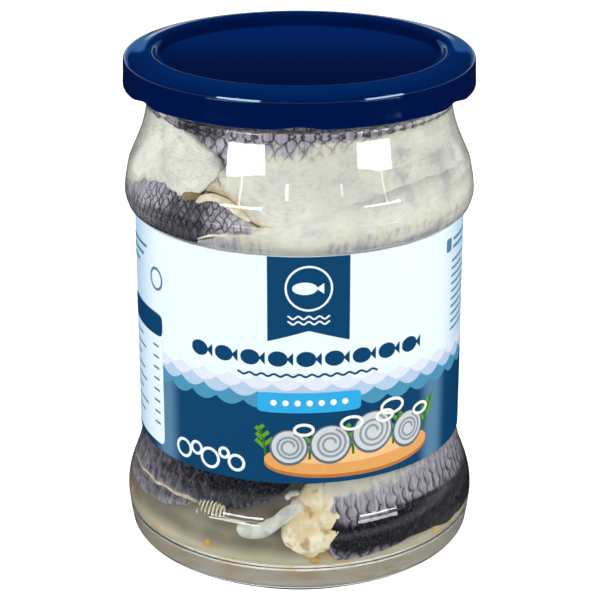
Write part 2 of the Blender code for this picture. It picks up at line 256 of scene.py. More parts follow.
# Studio: two soft boxes on stands close to the jar make its highlights. Four wide lamps that no gloss shows light it
# evenly, and the room is dark above a bright horizon, so that the lid stays deep in colour.
studio = {
    "boxes": (  # azimuth, distance, height, width, tall, power, roll
        ("boxLeft", -36.5, 330.0, 173.0, 156.0, 110.0, 1.07, 0.0),
        ("boxRight", 52.0, 330.0, 156.0, 146.0, 88.0, 0.73, 0.0),
        ("poleLeft", -39.0, 335.0, 274.0, 8.0, 112.0, 0.023, 0.0),
        ("poleRight", 57.0, 335.0, 250.0, 7.0, 120.0, 0.015, 0.0),
        ("glintLeft", -8.2, 335.0, 265.0, 11.0, 7.0, 0.0030, 0.0),
        ("glintRight", 28.2, 335.0, 258.0, 8.0, 7.0, 0.0016, 0.0),
        ("stripLeft", -40.5, 330.0, 84.0, 200.0, 5.0, 0.038, 7.1),
        ("stripRight", 49.5, 330.0, 78.5, 158.0, 4.0, 0.021, -9.0),
    ),
    "cards": (  # azimuth, distance, height, width, tall, power, colour: tinted cards that only the lid mirrors
        ("cardBehind", 180.0, 1000.0, 330.0, 1300.0, 90.0, 0.10, (0.0, 0.16, 1.0)),
        ("cardLeft", -158.0, 1000.0, 240.0, 460.0, 240.0, 0.20, (0.22, 0.55, 0.90)),
        ("cardRight", 158.0, 1000.0, 240.0, 460.0, 240.0, 0.12, (0.22, 0.55, 0.90)),
    ),
    "fills": (  # azimuth, distance, height, size, power
        ("fillFront", 5.0, 1100.0, 500.0, 900.0, 5.0),
        ("fillLeft", -95.0, 1000.0, 450.0, 800.0, 4.0),
        ("fillRight", 95.0, 1000.0, 450.0, 800.0, 3.5),
        ("overhead", 0.0, 200.0, 1300.0, 1400.0, 13.0),
    ),
    "horizon": "#d5dadf",
    "room": "#10151d",
    "floorColour": "#b0b0b0",
    "floorGlow": 0.98,
}


def placeLamp(name, azimuth, distance, height, width, tall, power, roll=0.0):
    data = bpy.data.lights.new(name, "AREA")
    data.shape = "RECTANGLE"
    data.size, data.size_y = width * mm, tall * mm
    data.energy = power
    lamp = bpy.data.objects.new(name, data)
    turned = math.radians(azimuth)
    lamp.location = (math.sin(turned) * distance * mm, -math.cos(turned) * distance * mm, height * mm)
    down = math.atan2(height - 80.0, distance) if distance > 400.0 else 0.0
    facing = Euler((math.pi / 2.0 - down, 0.0, turned)).to_matrix() @ Euler((0.0, 0.0, math.radians(roll))).to_matrix()
    lamp.rotation_euler = facing.to_euler()
    lamp.visible_camera = False
    bpy.context.scene.collection.objects.link(lamp)
    return lamp


def lightStudio():
    scene = bpy.context.scene
    scene.view_settings.view_transform = "Standard"
    for values in studio["boxes"]:
        lamp = placeLamp(*values)
        lamp.visible_diffuse = False
        lamp.visible_transmission = False
    for *values, colour in studio["cards"]:
        lamp = placeLamp(*values)
        lamp.data.color = colour
        lamp.visible_diffuse = False
        lamp.visible_transmission = False
    for name, azimuth, distance, height, size, power in studio["fills"]:
        lamp = placeLamp(name, azimuth, distance, height, size, size, power)
        lamp.visible_glossy = False
        lamp.visible_transmission = False
        if name == "overhead":
            lamp.rotation_euler = (0.15, 0.0, 0.0)

    world = bpy.data.worlds.new("room")
    world.use_nodes = True
    tree = world.node_tree
    direction = addNode(tree, "ShaderNodeTexCoord")
    parts = addNode(tree, "ShaderNodeSeparateXYZ", {0: direction.outputs["Generated"]})
    away = addNode(tree, "ShaderNodeMath", {0: parts.outputs["Z"]}, operation="ABSOLUTE")
    rise = addNode(tree, "ShaderNodeMapRange", {"Value": away.outputs[0], "From Min": 0.03, "From Max": 0.11})
    tone = addNode(tree, "ShaderNodeMix", {
        0: rise.outputs["Result"], 6: toLinear(studio["horizon"]), 7: toLinear(studio["room"])}, data_type="RGBA")
    tree.links.new(tone.outputs[2], tree.nodes["Background"].inputs["Color"])
    scene.world = world

    half = 2000.0
    corners = np.array([(-half, -half, -0.05), (half, -half, -0.05), (half, half, -0.05), (-half, half, -0.05)])
    floor = addMesh("floor", corners, [(0, 1, 2, 3)], smooth=False)
    floor.visible_glossy = False
    material, tree, shader = newMaterial("lightTable")  # matt white table lit from below: pale under the jar as well
    shader.inputs["Base Color"].default_value = toLinear(studio["floorColour"])
    shader.inputs["Emission Color"].default_value = (1.0, 1.0, 1.0, 1.0)
    shader.inputs["Emission Strength"].default_value = studio["floorGlow"]
    shader.inputs["Roughness"].default_value = 0.9
    floor.data.materials.append(material)

    sweep = addMesh("sweep", np.array([(-900.0, 1400.0, 5.0), (900.0, 1400.0, 5.0), (900.0, 1400.0, 900.0), (-900.0, 1400.0, 900.0)]),
                    [(0, 1, 2, 3)], smooth=False)
    sweep.visible_glossy = False
    material, tree, shader = newMaterial("litPaper")  # lit paper behind the jar, seen only through the glass
    shader.inputs["Base Color"].default_value = toLinear(studio["floorColour"])
    shader.inputs["Emission Color"].default_value = (1.0, 1.0, 1.0, 1.0)
    shader.inputs["Emission Strength"].default_value = studio["floorGlow"]
    sweep.data.materials.append(material)


lightStudio()
print("studio lit")


# Soda-lime glass, blown and fire polished: clear and glossy with a faint green where it is thick
def clearLiquidOrGlass(name, colour, ior, mirror, roughness=0.0):
    material, tree, shader = newMaterial(name)
    shader.inputs["Base Color"].default_value = toLinear(colour)
    shader.inputs["Roughness"].default_value = roughness
    shader.inputs["IOR"].default_value = ior
    shader.inputs["Transmission Weight"].default_value = 1.0
    shader.inputs["Specular Tint"].default_value = (mirror, mirror, mirror, 1.0)
    return material


def blowGlass():
    seams = [height + jar["seamWidth"] * np.linspace(-3.0, 3.0, 13) for height in jar["seamHeights"]]
    neck = jar["beadHeight"] - 2.0 * jar["beadHalf"]
    up = cornerHeights(jar["outerCorners"], jar["footEdge"], neck, seams)
    outside = list(zip(cornered(jar["outerCorners"], up), up))
    bead = np.linspace(-1.0, 1.0, 13)[1:]
    neckRadius = cornered(jar["outerCorners"], neck)
    flare = (jar["finishRadius"] - neckRadius) * easeStep((bead - 0.2) / 0.8)
    rise = jar["beadRise"] * np.cos(bead * math.pi / 2.0) ** 4
    outside += list(zip(neckRadius + flare + rise, jar["beadHeight"] + bead * 2.0 * jar["beadHalf"]))
    rim = jar["mouthHeight"] - jar["mouthRim"]
    outside += roundCorner((jar["finishRadius"], rim), (jar["finishRadius"] - jar["mouthRim"], jar["mouthHeight"]), True)
    inside = roundCorner((jar["mouthInner"] + jar["mouthRim"], jar["mouthHeight"]), (jar["mouthInner"], rim), False)
    down = cornerHeights(jar["innerCorners"], jar["innerHeel"], jar["beadHeight"])[::-1]
    inside += list(zip(innerRadius(down), down))
    heel = jar["innerHeel"] - (jar["innerHeel"] - jar["floorEdge"]) * np.sin(np.linspace(0.0, math.pi / 2.0, 14))[1:]
    inside += list(zip(innerRadius(heel), heel))
    dome = np.linspace(1.0, 0.0, 9)[1:]
    inside += [(jar["floorRadius"] * t, jar["floorEdge"] + (jar["floorHeight"] - jar["floorEdge"]) * (1.0 - t * t)) for t in dome]
    push = np.linspace(0.0, 1.0, 10)
    underside = [((jar["footInner"] - 0.6) * t, jar["pushUp"] * (1.0 - t ** 3) + 0.1 * t ** 3) for t in push]
    underside += [(jar["footInner"], 0.0), (jar["footOuter"], 0.0)]

    # Mould seams: low bell-shaped ridges at set heights, and at set angles clear of the label
    def raiseSeams(angle, radius, height):
        outer = radius > cornered(jar["outerCorners"], np.clip(height, 0.0, neck)) - 0.01
        away = [(height - seam) / jar["seamWidth"] for seam in jar["seamHeights"]]
        away += [np.radians((angle - seam + 180.0) % 360.0 - 180.0) * radius / jar["seamWidth"] for seam in jar["seamAngles"]]
        ridge = np.max([np.exp(-a * a) + 0.0 * radius for a in away], axis=0)
        bare = (np.abs(height - 59.6) > 29.5) & (height < neck) & (height > 5.0)
        return radius + jar["seamRise"] * ridge * outer * bare, height

    near = [seam + np.linspace(-1.0, 1.0, 9) for seam in jar["seamAngles"]]
    angle = np.unique(np.round(np.concatenate((fullTurn(jar["sides"]), *near)) % 360.0, 3))
    angle = angle[np.concatenate(([True], np.diff(angle) > 0.1))]
    return addTurned("jarGlass", underside + outside + inside, angle, relief=raiseSeams)


# Inside faces that the marinade wets hardly mirror anything, and the foot is stippled where the mould was rough
def wetInside(glass):
    glass.data.materials.append(clearLiquidOrGlass("wettedGlass", "#fbfefc", 1.52, 0.05))
    foot = clearLiquidOrGlass("stippledGlass", "#fff0da", 1.52, 1.0, 0.55)
    place = addNode(foot.node_tree, "ShaderNodeTexCoord")
    blotch = addNode(foot.node_tree, "ShaderNodeTexNoise", {"Vector": place.outputs["Object"], "Scale": 190.0, "Detail": 2.0})
    ramp = addNode(foot.node_tree, "ShaderNodeValToRGB", {"Fac": blotch.outputs["Fac"]})
    for position, hexColour in zip((0.50, 0.60), ("#ffffff", "#e2b87a")):
        stop = ramp.color_ramp.elements[int(position > 0.5)]
        stop.position, stop.color = position, toLinear(hexColour)
    foot.node_tree.links.new(ramp.outputs["Color"], foot.node_tree.nodes["Principled BSDF"].inputs["Base Color"])
    glass.data.materials.append(foot)
    centres = np.empty(len(glass.data.polygons) * 3)
    glass.data.polygons.foreach_get("center", centres)
    x, y, z = centres.reshape(-1, 3).T / mm
    wet = (np.hypot(x, y) < innerRadius(np.maximum(z, jar["floorEdge"])) + 0.2) & (z > jar["floorEdge"] - 0.1) & (z < marinade["level"])
    stippled = (np.hypot(x, y) < jar["footOuter"]) & (z < jar["pushUp"] + 0.1)
    glass.data.polygons.foreach_set("material_index", (wet + 2 * stippled).astype(np.int32))


# Marinade: fills the jar up to its level and reaches just into the glass, so that no air gap shows
marinade = {"level": 121.0, "reach": 0.12, "colour": "#fefefb", "sides": 160}

glass = blowGlass()
glass.visible_shadow = False
dress(glass, clearLiquidOrGlass("sodaLimeGlass", "#fbfefc", 1.52, 1.0), "glass", "glass_jar")
wetInside(glass)
print("glass blown")


def fillMarinade():
    heel = jar["floorEdge"] + (jar["innerHeel"] - jar["floorEdge"]) * (1.0 - np.cos(np.linspace(0.0, math.pi / 2.0, 14)))[:-1]
    heights = np.concatenate((heel, cornerHeights(jar["innerCorners"], jar["innerHeel"], jar["beadHeight"])))
    rise = jar["floorHeight"] - jar["floorEdge"]
    bottom = [(jar["floorRadius"] * t, jar["floorEdge"] + rise * (1.0 - t * t) - marinade["reach"])
              for t in np.linspace(0.0, 1.0, 10)[:-1]]
    side = list(zip(innerRadius(heights) + marinade["reach"], heights))
    side[0] = (side[0][0], side[0][1] - marinade["reach"])
    top = [(jar["mouthInner"] + marinade["reach"], marinade["level"]), (0.0, marinade["level"])]
    liquid = addTurned("marinade", bottom + side + top, fullTurn(marinade["sides"]))
    liquid.visible_shadow = False
    return dress(liquid, clearLiquidOrGlass("vinegarMarinade", marinade["colour"], 1.345, 0.05), "glass")


fillMarinade()
print("marinade filled")

# The cloudy middle of the jar: settled marinade and packed fish a few millimetres behind the glass
middle = {
    "depth": 4.0,
    "baseDepth": 1.7,  # nearer the glass where the jar's bottom curves in
    "wander": 0.5,
    "wave": 18.0,
    "top": 118.5,
    "sides": 180,
    # Tones by height: the pale bottom is painted light, as if lit from below through the glass base; above it they
    # darken
    "tones": ((8.0, "#dacfb9"), (10.5, "#bfb49e"), (13.5, "#716859"), (22.0, "#60584f"), (32.0, "#4e4842"), (120.0, "#6c6259")),
    "spots": "#d8a45c",
}


def cloudedMiddle():
    low, high = jar["floorHeight"] + 0.3, 116.0
    heights = np.unique(np.concatenate((np.linspace(low, 32.0, 60), np.linspace(32.0, 86.0, 8), np.linspace(86.0, high, 60))))
    depth = middle["depth"] + (middle["baseDepth"] - middle["depth"]) * (1.0 - easeStep((heights - 8.5) / 7.0))
    profile = [(0.0, low), (15.0, low), (26.0, low)]
    profile += list(zip(innerRadius(heights) - depth, heights))
    profile += [(jar["mouthInner"] - middle["depth"] - 2.0, middle["top"]), (0.0, middle["top"])]

    def wander(angle, radius, height):
        along = np.radians(angle) * 40.0 + 0.0 * height
        seam = easeStep((180.0 - np.abs(angle - 180.0)) / 8.0)  # the ripple dies at the closing angle
        return radius + ripple(along, height, middle["wave"], 11) * middle["wander"] * seam * (radius > 30.0), height

    body = addTurned("cloudedMiddle", profile, fullTurn(middle["sides"]), relief=wander)
    material, tree, shader = newMaterial("cloudedMarinade")  # milky, soft and matt, without an edge of its own
    place = addNode(tree, "ShaderNodeTexCoord")
    parts = addNode(tree, "ShaderNodeSeparateXYZ", {0: place.outputs["Object"]})
    climb = addNode(tree, "ShaderNodeMapRange", {
        "Value": parts.outputs["Z"], "From Min": middle["tones"][0][0] * mm, "From Max": middle["tones"][-1][0] * mm})
    ramp = addNode(tree, "ShaderNodeValToRGB", {"Fac": climb.outputs["Result"]}).color_ramp
    span = middle["tones"][-1][0] - middle["tones"][0][0]
    for number, (height, hexColour) in enumerate(middle["tones"]):
        position = (height - middle["tones"][0][0]) / span
        stop = ramp.elements[number] if number < 2 else ramp.elements.new(position)
        stop.position, stop.color = position, toLinear(hexColour)
    tone = tree.nodes["Color Ramp"].outputs["Color"]
    drift = addNode(tree, "ShaderNodeTexNoise", {"Vector": place.outputs["Object"], "Scale": 70.0, "Detail": 4.0})
    cloud = addNode(tree, "ShaderNodeMapRange", {"Value": drift.outputs["Fac"], "From Min": 0.3, "From Max": 0.7, "To Max": 0.3})
    hazed = addNode(tree, "ShaderNodeMix", {0: cloud.outputs["Result"], 6: tone, 7: toLinear("#c9c2ae")}, data_type="RGBA")
    fleck = addNode(tree, "ShaderNodeTexNoise", {"Vector": place.outputs["Object"], "Scale": 150.0, "Detail": 1.0})
    lowest = addNode(tree, "ShaderNodeMapRange", {"Value": parts.outputs["Z"], "From Min": 0.016, "From Max": 0.011, "To Max": 0.55})
    spot = addNode(tree, "ShaderNodeMapRange", {"Value": fleck.outputs["Fac"], "From Min": 0.62, "From Max": 0.70})
    amount = addNode(tree, "ShaderNodeMath", {0: spot.outputs["Result"], 1: lowest.outputs["Result"]}, operation="MULTIPLY")
    mixed = addNode(tree, "ShaderNodeMix", {
        0: amount.outputs[0], 6: hazed.outputs[2], 7: toLinear(middle["spots"])}, data_type="RGBA")
    tree.links.new(mixed.outputs[2], shader.inputs["Base Color"])
    shader.inputs["Roughness"].default_value = 0.8
    shader.inputs["Specular IOR Level"].default_value = 0.04
    return dress(body, material, "fish", "herring_heap")


cloudedMiddle()
print("middle clouded")

# Herring skin: silver belly, lavender flank with a dark pattern of scales, blue-black back
skin = {
    "belly": "#e4e2da",
    "bellyWarm": "#dad4c4",
    "bellyShade": "#bfbdc2",
    "bellyLight": "#f4f1e4",
    "cream": "#e6dfcb",
    "flank": "#cbc3d1",
    "flankDeep": "#9a94a5",
    "back": "#101119",
    "backLight": "#4c4a57",
    "net": "#282432",
    "flesh": "#ecdcc2",
    "fleshDeep": "#d6c3a1",
    "scaleLong": 2.7,  # along the fish
    "scaleTall": 3.6,  # across it
    "netLong": 3.9,
    "netTall": 5.0,
    "fineLong": 2.1,
    "fineTall": 3.0,
}


def herringSkin(name, pattern):
    material, tree, shader = newMaterial(name)  # wet cured skin: a soft silver sheen over pigment
    surface = addNode(tree, "ShaderNodeUVMap", uv_map="surface").outputs["UV"]
    shade = addNode(tree, "ShaderNodeAttribute", attribute_name="shade").outputs["Fac"]
    flesh = addNode(tree, "ShaderNodeAttribute", attribute_name="flesh").outputs["Fac"]

    def compute(operation, a, b=0.0, c=0.0):
        return addNode(tree, "ShaderNodeMath", {0: a, 1: b, 2: c}, operation=operation).outputs[0]

    def ranged(value, low, high):
        return addNode(tree, "ShaderNodeMapRange", {"Value": value, "From Min": low, "From Max": high},
                       interpolation_type="SMOOTHSTEP").outputs["Result"]

    def blended(factor, a, b):
        return addNode(tree, "ShaderNodeMix", {0: factor, 6: a, 7: b}, data_type="RGBA").outputs[2]

    def noise(scaleX, scaleY, detail):
        stretched = addNode(tree, "ShaderNodeMapping", {"Vector": surface, "Scale": (scaleX, scaleY, 1.0)})
        return addNode(tree, "ShaderNodeTexNoise", {"Vector": stretched.outputs[0], "Scale": 1.0, "Detail": detail}).outputs["Fac"]

    parts = addNode(tree, "ShaderNodeSeparateXYZ", {0: surface}).outputs
    warp = compute("MULTIPLY", compute("SUBTRACT", noise(0.2, 0.2, 3.0), 0.5), 3.4)
    along, across = compute("ADD", parts["X"], warp), compute("ADD", parts["Y"], warp)
    mottle = noise(0.55, 0.45, 5.0)
    fibre = noise(1.7, 0.16, 4.0)
    wrinkle = noise(0.5, 1.3, 5.0)

    outlined = {"net": (0.12, 0.5), "fine": (0.2, 0.7)}.get(pattern, (0.26, 0.68))

    if pattern == "columns":  # rows of scales, each scale with a curved dark free edge and a painted shadow fading from it into the next
        column = compute("DIVIDE", along, skin["scaleLong"])
        offset = compute("MULTIPLY", compute("FLOORED_MODULO", compute("FLOOR", column), 2.0), 0.5)
        inRow = compute("SUBTRACT", compute("FRACT", compute("ADD", compute("DIVIDE", across, skin["scaleTall"]), offset)), 0.5)
        arc = compute("MULTIPLY_ADD", compute("MULTIPLY", inRow, inRow), 1.5, 0.1)
        gap = compute("SUBTRACT", compute("FRACT", column), arc)
        line = compute("SUBTRACT", 1.0, ranged(compute("ABSOLUTE", gap), 0.02, 0.2))
        # painted shadow: darkening that fades from each scale's free edge over the next scale
        hollow = compute("MULTIPLY", compute("SUBTRACT", 1.0, ranged(gap, 0.0, 0.75)), ranged(gap, -0.15, 0.0))
        outline = compute("MAXIMUM", line, compute("MULTIPLY", hollow, 0.45))
    elif pattern in ("net", "fine"):  # a slanted lattice: the scales' edges show as crossing dark lines
        along = compute("ADD", along, compute("MULTIPLY", compute("SUBTRACT", noise(0.5, 0.35, 2.0), 0.5), 2.6))
        u, v = compute("DIVIDE", along, skin[pattern + "Long"]), compute("DIVIDE", across, skin[pattern + "Tall"])
        lines = [compute("ABSOLUTE", compute("SUBTRACT", compute("FRACT", compute(step, u, v)), 0.5)) for step in ("ADD", "SUBTRACT")]
        nearest = compute("ADD", compute("MINIMUM", *lines), compute("MULTIPLY", compute("SUBTRACT", noise(0.5, 0.4, 3.0), 0.5), 0.3))
        outline = compute("SUBTRACT", 1.0, ranged(compute("ADD", nearest, compute("MULTIPLY", mottle, 0.16)), 0.07, 0.24))
    else:  # fine upright fibres
        outline = ranged(fibre, 0.46, 0.66)

    mottled = compute("ADD", shade, compute("MULTIPLY", compute("SUBTRACT", mottle, 0.5), 0.4))
    drift = noise(0.15, 0.17, 5.0)
    belly = blended(ranged(wrinkle, 0.5, 0.72), toLinear(skin["belly"]), toLinear(skin["bellyWarm"]))
    belly = blended(compute("MULTIPLY", ranged(drift, 0.5, 0.72), 0.7), belly, toLinear(skin["bellyShade"]))
    belly = blended(compute("MULTIPLY", ranged(drift, 0.5, 0.3), 0.6), belly, toLinear(skin["bellyLight"]))
    flank = blended(ranged(fibre, 0.3, 0.7), toLinear(skin["flankDeep"]), toLinear(skin["flank"]))
    edge = compute("SUBTRACT", 1.0, ranged(compute("ABSOLUTE", compute("SUBTRACT", mottled, 0.24)), 0.02, 0.12))
    pigment = blended(ranged(mottled, 0.2, 0.42), belly, flank)
    pigment = blended(compute("MULTIPLY", edge, 0.5), pigment, toLinear(skin["cream"]))
    grainy = ranged(noise(1.6, 1.3, 3.0), *((0.28, 0.52) if pattern == "fine" else (0.46, 0.7)))
    speckle = compute("MULTIPLY", grainy, compute("SUBTRACT", 1.0, outline))
    back = blended(speckle, toLinear(skin["back"]), toLinear(skin["backLight"]))
    pigment = blended(ranged(mottled, 0.6, 0.95), pigment, back)
    outline = compute("MULTIPLY", outline, compute("MULTIPLY", ranged(mottled, *outlined), 0.85))
    # In the columns pattern the outline also carries the painted shadow under each scale's edge
    pigment = blended(outline, pigment, toLinear(skin["net"]))
    fleshTone = blended(ranged(wrinkle, 0.35, 0.7), toLinear(skin["flesh"]), toLinear(skin["fleshDeep"]))
    tree.links.new(blended(flesh, pigment, fleshTone), shader.inputs["Base Color"])
    height = compute("SUBTRACT", compute("ADD", compute("MULTIPLY", mottle, 0.5), compute("MULTIPLY", wrinkle, 0.5)),
                     compute("MULTIPLY", outline, 0.6))
    bump = addNode(tree, "ShaderNodeBump", {"Height": height, "Strength": 1.0, "Distance": 0.0012})
    tree.links.new(bump.outputs["Normal"], shader.inputs["Normal"])
    shader.inputs["Roughness"].default_value = 0.45
    shader.inputs["Specular IOR Level"].default_value = 0.04
    return material


skinMaterials = {pattern: herringSkin("herringSkin" + pattern.capitalize(), pattern) for pattern in ("columns", "net", "fine", "fibres")}

# Each fillet lies between its two edges: (angle, height) points. Shades are rows of an angle and five values from
# the bottom edge to the top, where 0 is the silver belly and 1 the black back. A rim is how much cut flesh shows at
# the top and bottom edge.
fillets = {
    "whiteFlap": {
        "pattern": "fibres",
        "top": ((-112, 110.0), (-90, 112.8), (-79, 114.6), (-63, 114.6), (-54, 113.2), (-46, 111.6), (-40, 109.6), (-36, 109.4),
                (-32.5, 108.4), (-30, 106.6)),
        "bottom": ((-112, 93.8), (-88, 94.2), (-76, 95.4), (-66, 97.6), (-56, 98.6), (-45, 98.8), (-38, 99.0), (-34.5, 100.6),
                   (-33, 103.2), (-30, 104.6)),
        "behind": 0.0,
        "shades": ((-112, 0.3, 0.0, 0.0, 0.0, 0.0), (-80, 0.3, 0.0, 0.0, 0.0, 0.0), (-60, 0.34, 0.04, 0.0, 0.0, 0.0),
                   (-38, 0.1, 0.0, 0.0, 0.0, 0.0), (-30, 0.0, 0.0, 0.0, 0.0, 0.0)),
        "rims": (0.0, 0.0),
        "ragged": 0.9,
        "relief": 0.5,
        "thickness": 3.0,
        "endTaper": 1.6,
        "soft": 0.6,
    },
    "bigSide": {
        "pattern": "net",
        "top": ((-64, 117.4), (128, 117.4)),
        "bottom": ((-64, 100.0), (-30, 99.6), (-23.4, 98.0), (-20, 96.6), (-17, 95.2), (-14, 93.6), (-9, 92.0), (0, 92.2),
                   (12, 94.0), (30, 96.0), (128, 97.0)),
        "behind": 1.6,
        "shades": ((-64, 0.6, 0.6, 0.75, 0.9, 0.95), (-34, 0.3, 0.35, 0.6, 0.8, 0.9), (-29, 0.26, 0.3, 0.45, 0.65, 0.85),
                   (-25, 0.0, 0.04, 0.26, 0.55, 0.8), (-12, 0.0, 0.0, 0.04, 0.38, 0.78), (10, 0.0, 0.0, 0.02, 0.3, 0.76),
                   (35, 0.0, 0.0, 0.0, 0.22, 0.68), (60, 0.0, 0.0, 0.0, 0.1, 0.56), (128, 0.0, 0.0, 0.05, 0.3, 0.6)),
        "rims": (0.0, 1.9),
        "ragged": 0.35,
        "relief": 0.3,
        "thickness": 6.0,
    },
    "backSide": {
        "pattern": "net",
        "top": ((118, 117.6), (308, 117.6)),
        "bottom": ((118, 99.6), (170, 97.0), (240, 99.4), (308, 98.0)),
        "behind": 0.8,
        "shades": ((118, 0.0, 0.0, 0.05, 0.3, 0.6), (200, 0.05, 0.1, 0.3, 0.6, 0.8), (308, 0.1, 0.3, 0.5, 0.6, 0.7)),
        "rims": (0.0, 0.8),
        "ragged": 0.5,
        "relief": 0.3,
        "thickness": 6.0,
    },
    "darkBack": {
        "pattern": "fine",
        "top": ((-100, 96.5), (-81, 97.5), (-66, 99.0), (-57, 100.0), (-43, 100.0), (-34, 99.4), (-27, 98.8), (-23, 97.4),
                (-18, 95.0), (-8, 91.6)),
        "bottom": ((-100, 84.0), (-8, 86.0)),
        "behind": 1.2,
        "shades": ((-100, 0.6, 0.6, 0.46, 0.3, 0.26), (-72, 0.84, 0.84, 0.7, 0.38, 0.3), (-56, 0.92, 0.94, 0.86, 0.56, 0.42),
                   (-46, 0.92, 0.94, 0.94, 0.88, 0.6), (-36, 0.9, 0.92, 0.92, 0.9, 0.72), (-25, 0.7, 0.62, 0.6, 0.58, 0.5),
                   (-8, 0.3, 0.3, 0.2, 0.2, 0.1)),
        "rims": (0.0, 0.0),
        "ragged": 0.4,
        "relief": 0.3,
        "thickness": 6.0,
    },
    "bellyLow": {
        "pattern": "fibres",
        "top": ((-46, 84.0), (-40, 87.6), (-36.9, 89.8), (-28, 91.8), (-18, 92.8), (-9.7, 94.2), (0.7, 95.6), (10, 97.2),
                (20, 99.0), (35, 100.6), (50, 101.0), (75, 99.8), (106, 98.4)),
        "bottom": ((-46, 81.0), (106, 83.0)),
        "behind": 0.3,
        "shades": ((-46, 0.34, 0.34, 0.34, 0.33, 0.32), (-20, 0.34, 0.34, 0.34, 0.33, 0.32), (-10, 0.36, 0.34, 0.32, 0.26, 0.14),
                   (-3, 0.34, 0.2, 0.1, 0.02, 0.0), (5, 0.38, 0.36, 0.28, 0.08, 0.0), (12, 0.4, 0.38, 0.34, 0.14, 0.0),
                   (30, 0.4, 0.38, 0.3, 0.06, 0.0), (60, 0.42, 0.4, 0.32, 0.06, 0.0), (106, 0.44, 0.38, 0.28, 0.0, 0.0)),
        "rims": (0.0, 0.0),
        "ragged": 0.3,
        "relief": 0.3,
        "thickness": 6.0,
    },
    "backMiddle": {
        "pattern": "columns",
        "top": ((96, 99.4), (130, 100.6), (150, 99.2), (220, 101.2), (284, 99.4)),
        "bottom": ((96, 83.0), (284, 82.0)),
        "behind": 1.0,
        "shades": ((96, 0.6, 0.5, 0.3, 0.1, 0.0), (200, 0.9, 0.8, 0.7, 0.4, 0.2), (284, 0.8, 0.6, 0.5, 0.4, 0.3)),
        "rims": (0.8, 0.0),
        "ragged": 0.5,
        "relief": 0.3,
        "thickness": 6.0,
    },
    "skinLeft": {
        "pattern": "fibres",
        "top": ((-104, 34.0), (-2, 34.0)),
        "bottom": ((-104, 18.4), (-92, 18.8), (-75, 19.8), (-62, 20.2), (-45, 20.6), (-36, 20.8), (-22, 21.8), (-10, 24.6),
                   (-2, 29.0)),
        "behind": 0.2,
        "shades": ((-104, 0.64, 0.66, 0.7, 0.7, 0.7), (-60, 0.7, 0.8, 0.84, 0.82, 0.8), (-38, 0.8, 0.9, 0.92, 0.92, 0.92),
                   (-26, 0.84, 0.92, 0.95, 0.95, 0.95), (-2, 0.86, 0.95, 0.98, 0.98, 0.98)),
        "rims": (0.0, 1.0),
        "rimEnd": -42.0,
        "ragged": 0.3,
        "relief": 0.25,
        "thickness": 5.0,
    },
    "skinLeftLow": {
        "pattern": "fibres",
        "top": ((-128, 20.6), (-60, 21.8), (-42, 21.0)),
        "bottom": ((-128, 14.6), (-90, 15.2), (-64, 16.2), (-50, 17.6), (-44, 19.0), (-42, 20.0)),
        "behind": 1.0,
        "shades": ((-128, 0.5, 0.5, 0.6, 0.6, 0.6), (-60, 0.64, 0.76, 0.82, 0.84, 0.84), (-42, 0.6, 0.66, 0.72, 0.76, 0.76)),
        "rims": (0.0, 0.0),
        "ragged": 0.5,
        "relief": 0.25,
        "thickness": 5.0,
        "endTaper": 2.0,
    },
    "skinRight": {
        "pattern": "columns",
        "top": ((8, 34.0), (104, 34.0)),
        "bottom": ((8, 10.8), (13, 9.6), (19, 9.2), (25, 9.6), (31, 10.4), (36, 11.2), (46, 12.0), (53, 11.4),
                   (63, 9.8), (76, 9.4), (104, 9.6)),
        "behind": 0.6,
        "shades": ((8, 0.6, 1.0, 0.7, 0.2, 0.16), (22, 0.6, 1.2, 0.64, 0.23, 0.2), (30, 0.7, 1.25, 0.6, 0.27, 0.22),
                   (40, 1.0, 1.3, 0.6, 0.31, 0.26), (48, 1.2, 1.3, 0.62, 0.36, 0.3), (60, 1.25, 1.35, 0.66, 0.44, 0.4),
                   (70, 1.2, 1.3, 0.7, 0.5, 0.46), (104, 0.7, 0.9, 0.74, 0.56, 0.5)),
        "rims": (0.0, 0.0),
        "ragged": 0.3,
        "relief": 0.25,
        "thickness": 6.0,
    },
    "backLow": {
        "pattern": "columns",
        "top": ((98, 34.0), (262, 34.0)),
        "bottom": ((98, 19.0), (180, 17.0), (262, 19.0)),
        "behind": 0.5,
        "shades": ((98, 0.3, 0.4, 0.5, 0.5, 0.5), (180, 0.1, 0.3, 0.6, 0.8, 0.9), (262, 0.4, 0.5, 0.5, 0.5, 0.5)),
        "rims": (0.0, 1.0),
        "ragged": 0.4,
        "relief": 0.3,
        "thickness": 6.0,
    },
    "backBase": {
        "pattern": "fibres",
        "top": ((90, 21.0), (180, 19.4), (240, 21.0)),
        "bottom": ((90, 11.6), (240, 12.4)),
        "behind": 1.6,
        "shades": ((90, 0.5, 0.5, 0.6, 0.5, 0.5), (240, 0.6, 0.7, 0.8, 0.6, 0.5)),
        "rims": (0.0, 0.6),
        "ragged": 0.5,
        "relief": 0.3,
        "thickness": 5.0,
    },
}
filletMake = {"gap": 0.35, "step": 0.5, "section": 110, "endTaper": 7.0, "endWidth": 0.25}


# A fillet's edge at each angle: straight between its points, then smoothed over a few degrees
def softEdge(points, angle, soft=1.2):
    given, heights = np.array(points, float).T
    fine = np.arange(given[0], given[-1] + 0.25, 0.25)
    kernel = np.exp(-0.5 * (np.arange(-16, 17) * 0.25 / soft) ** 2)
    padded = np.pad(np.interp(fine, given, heights), 16, mode="edge")
    return np.interp(angle, fine, np.convolve(padded, kernel / kernel.sum(), mode="valid"))


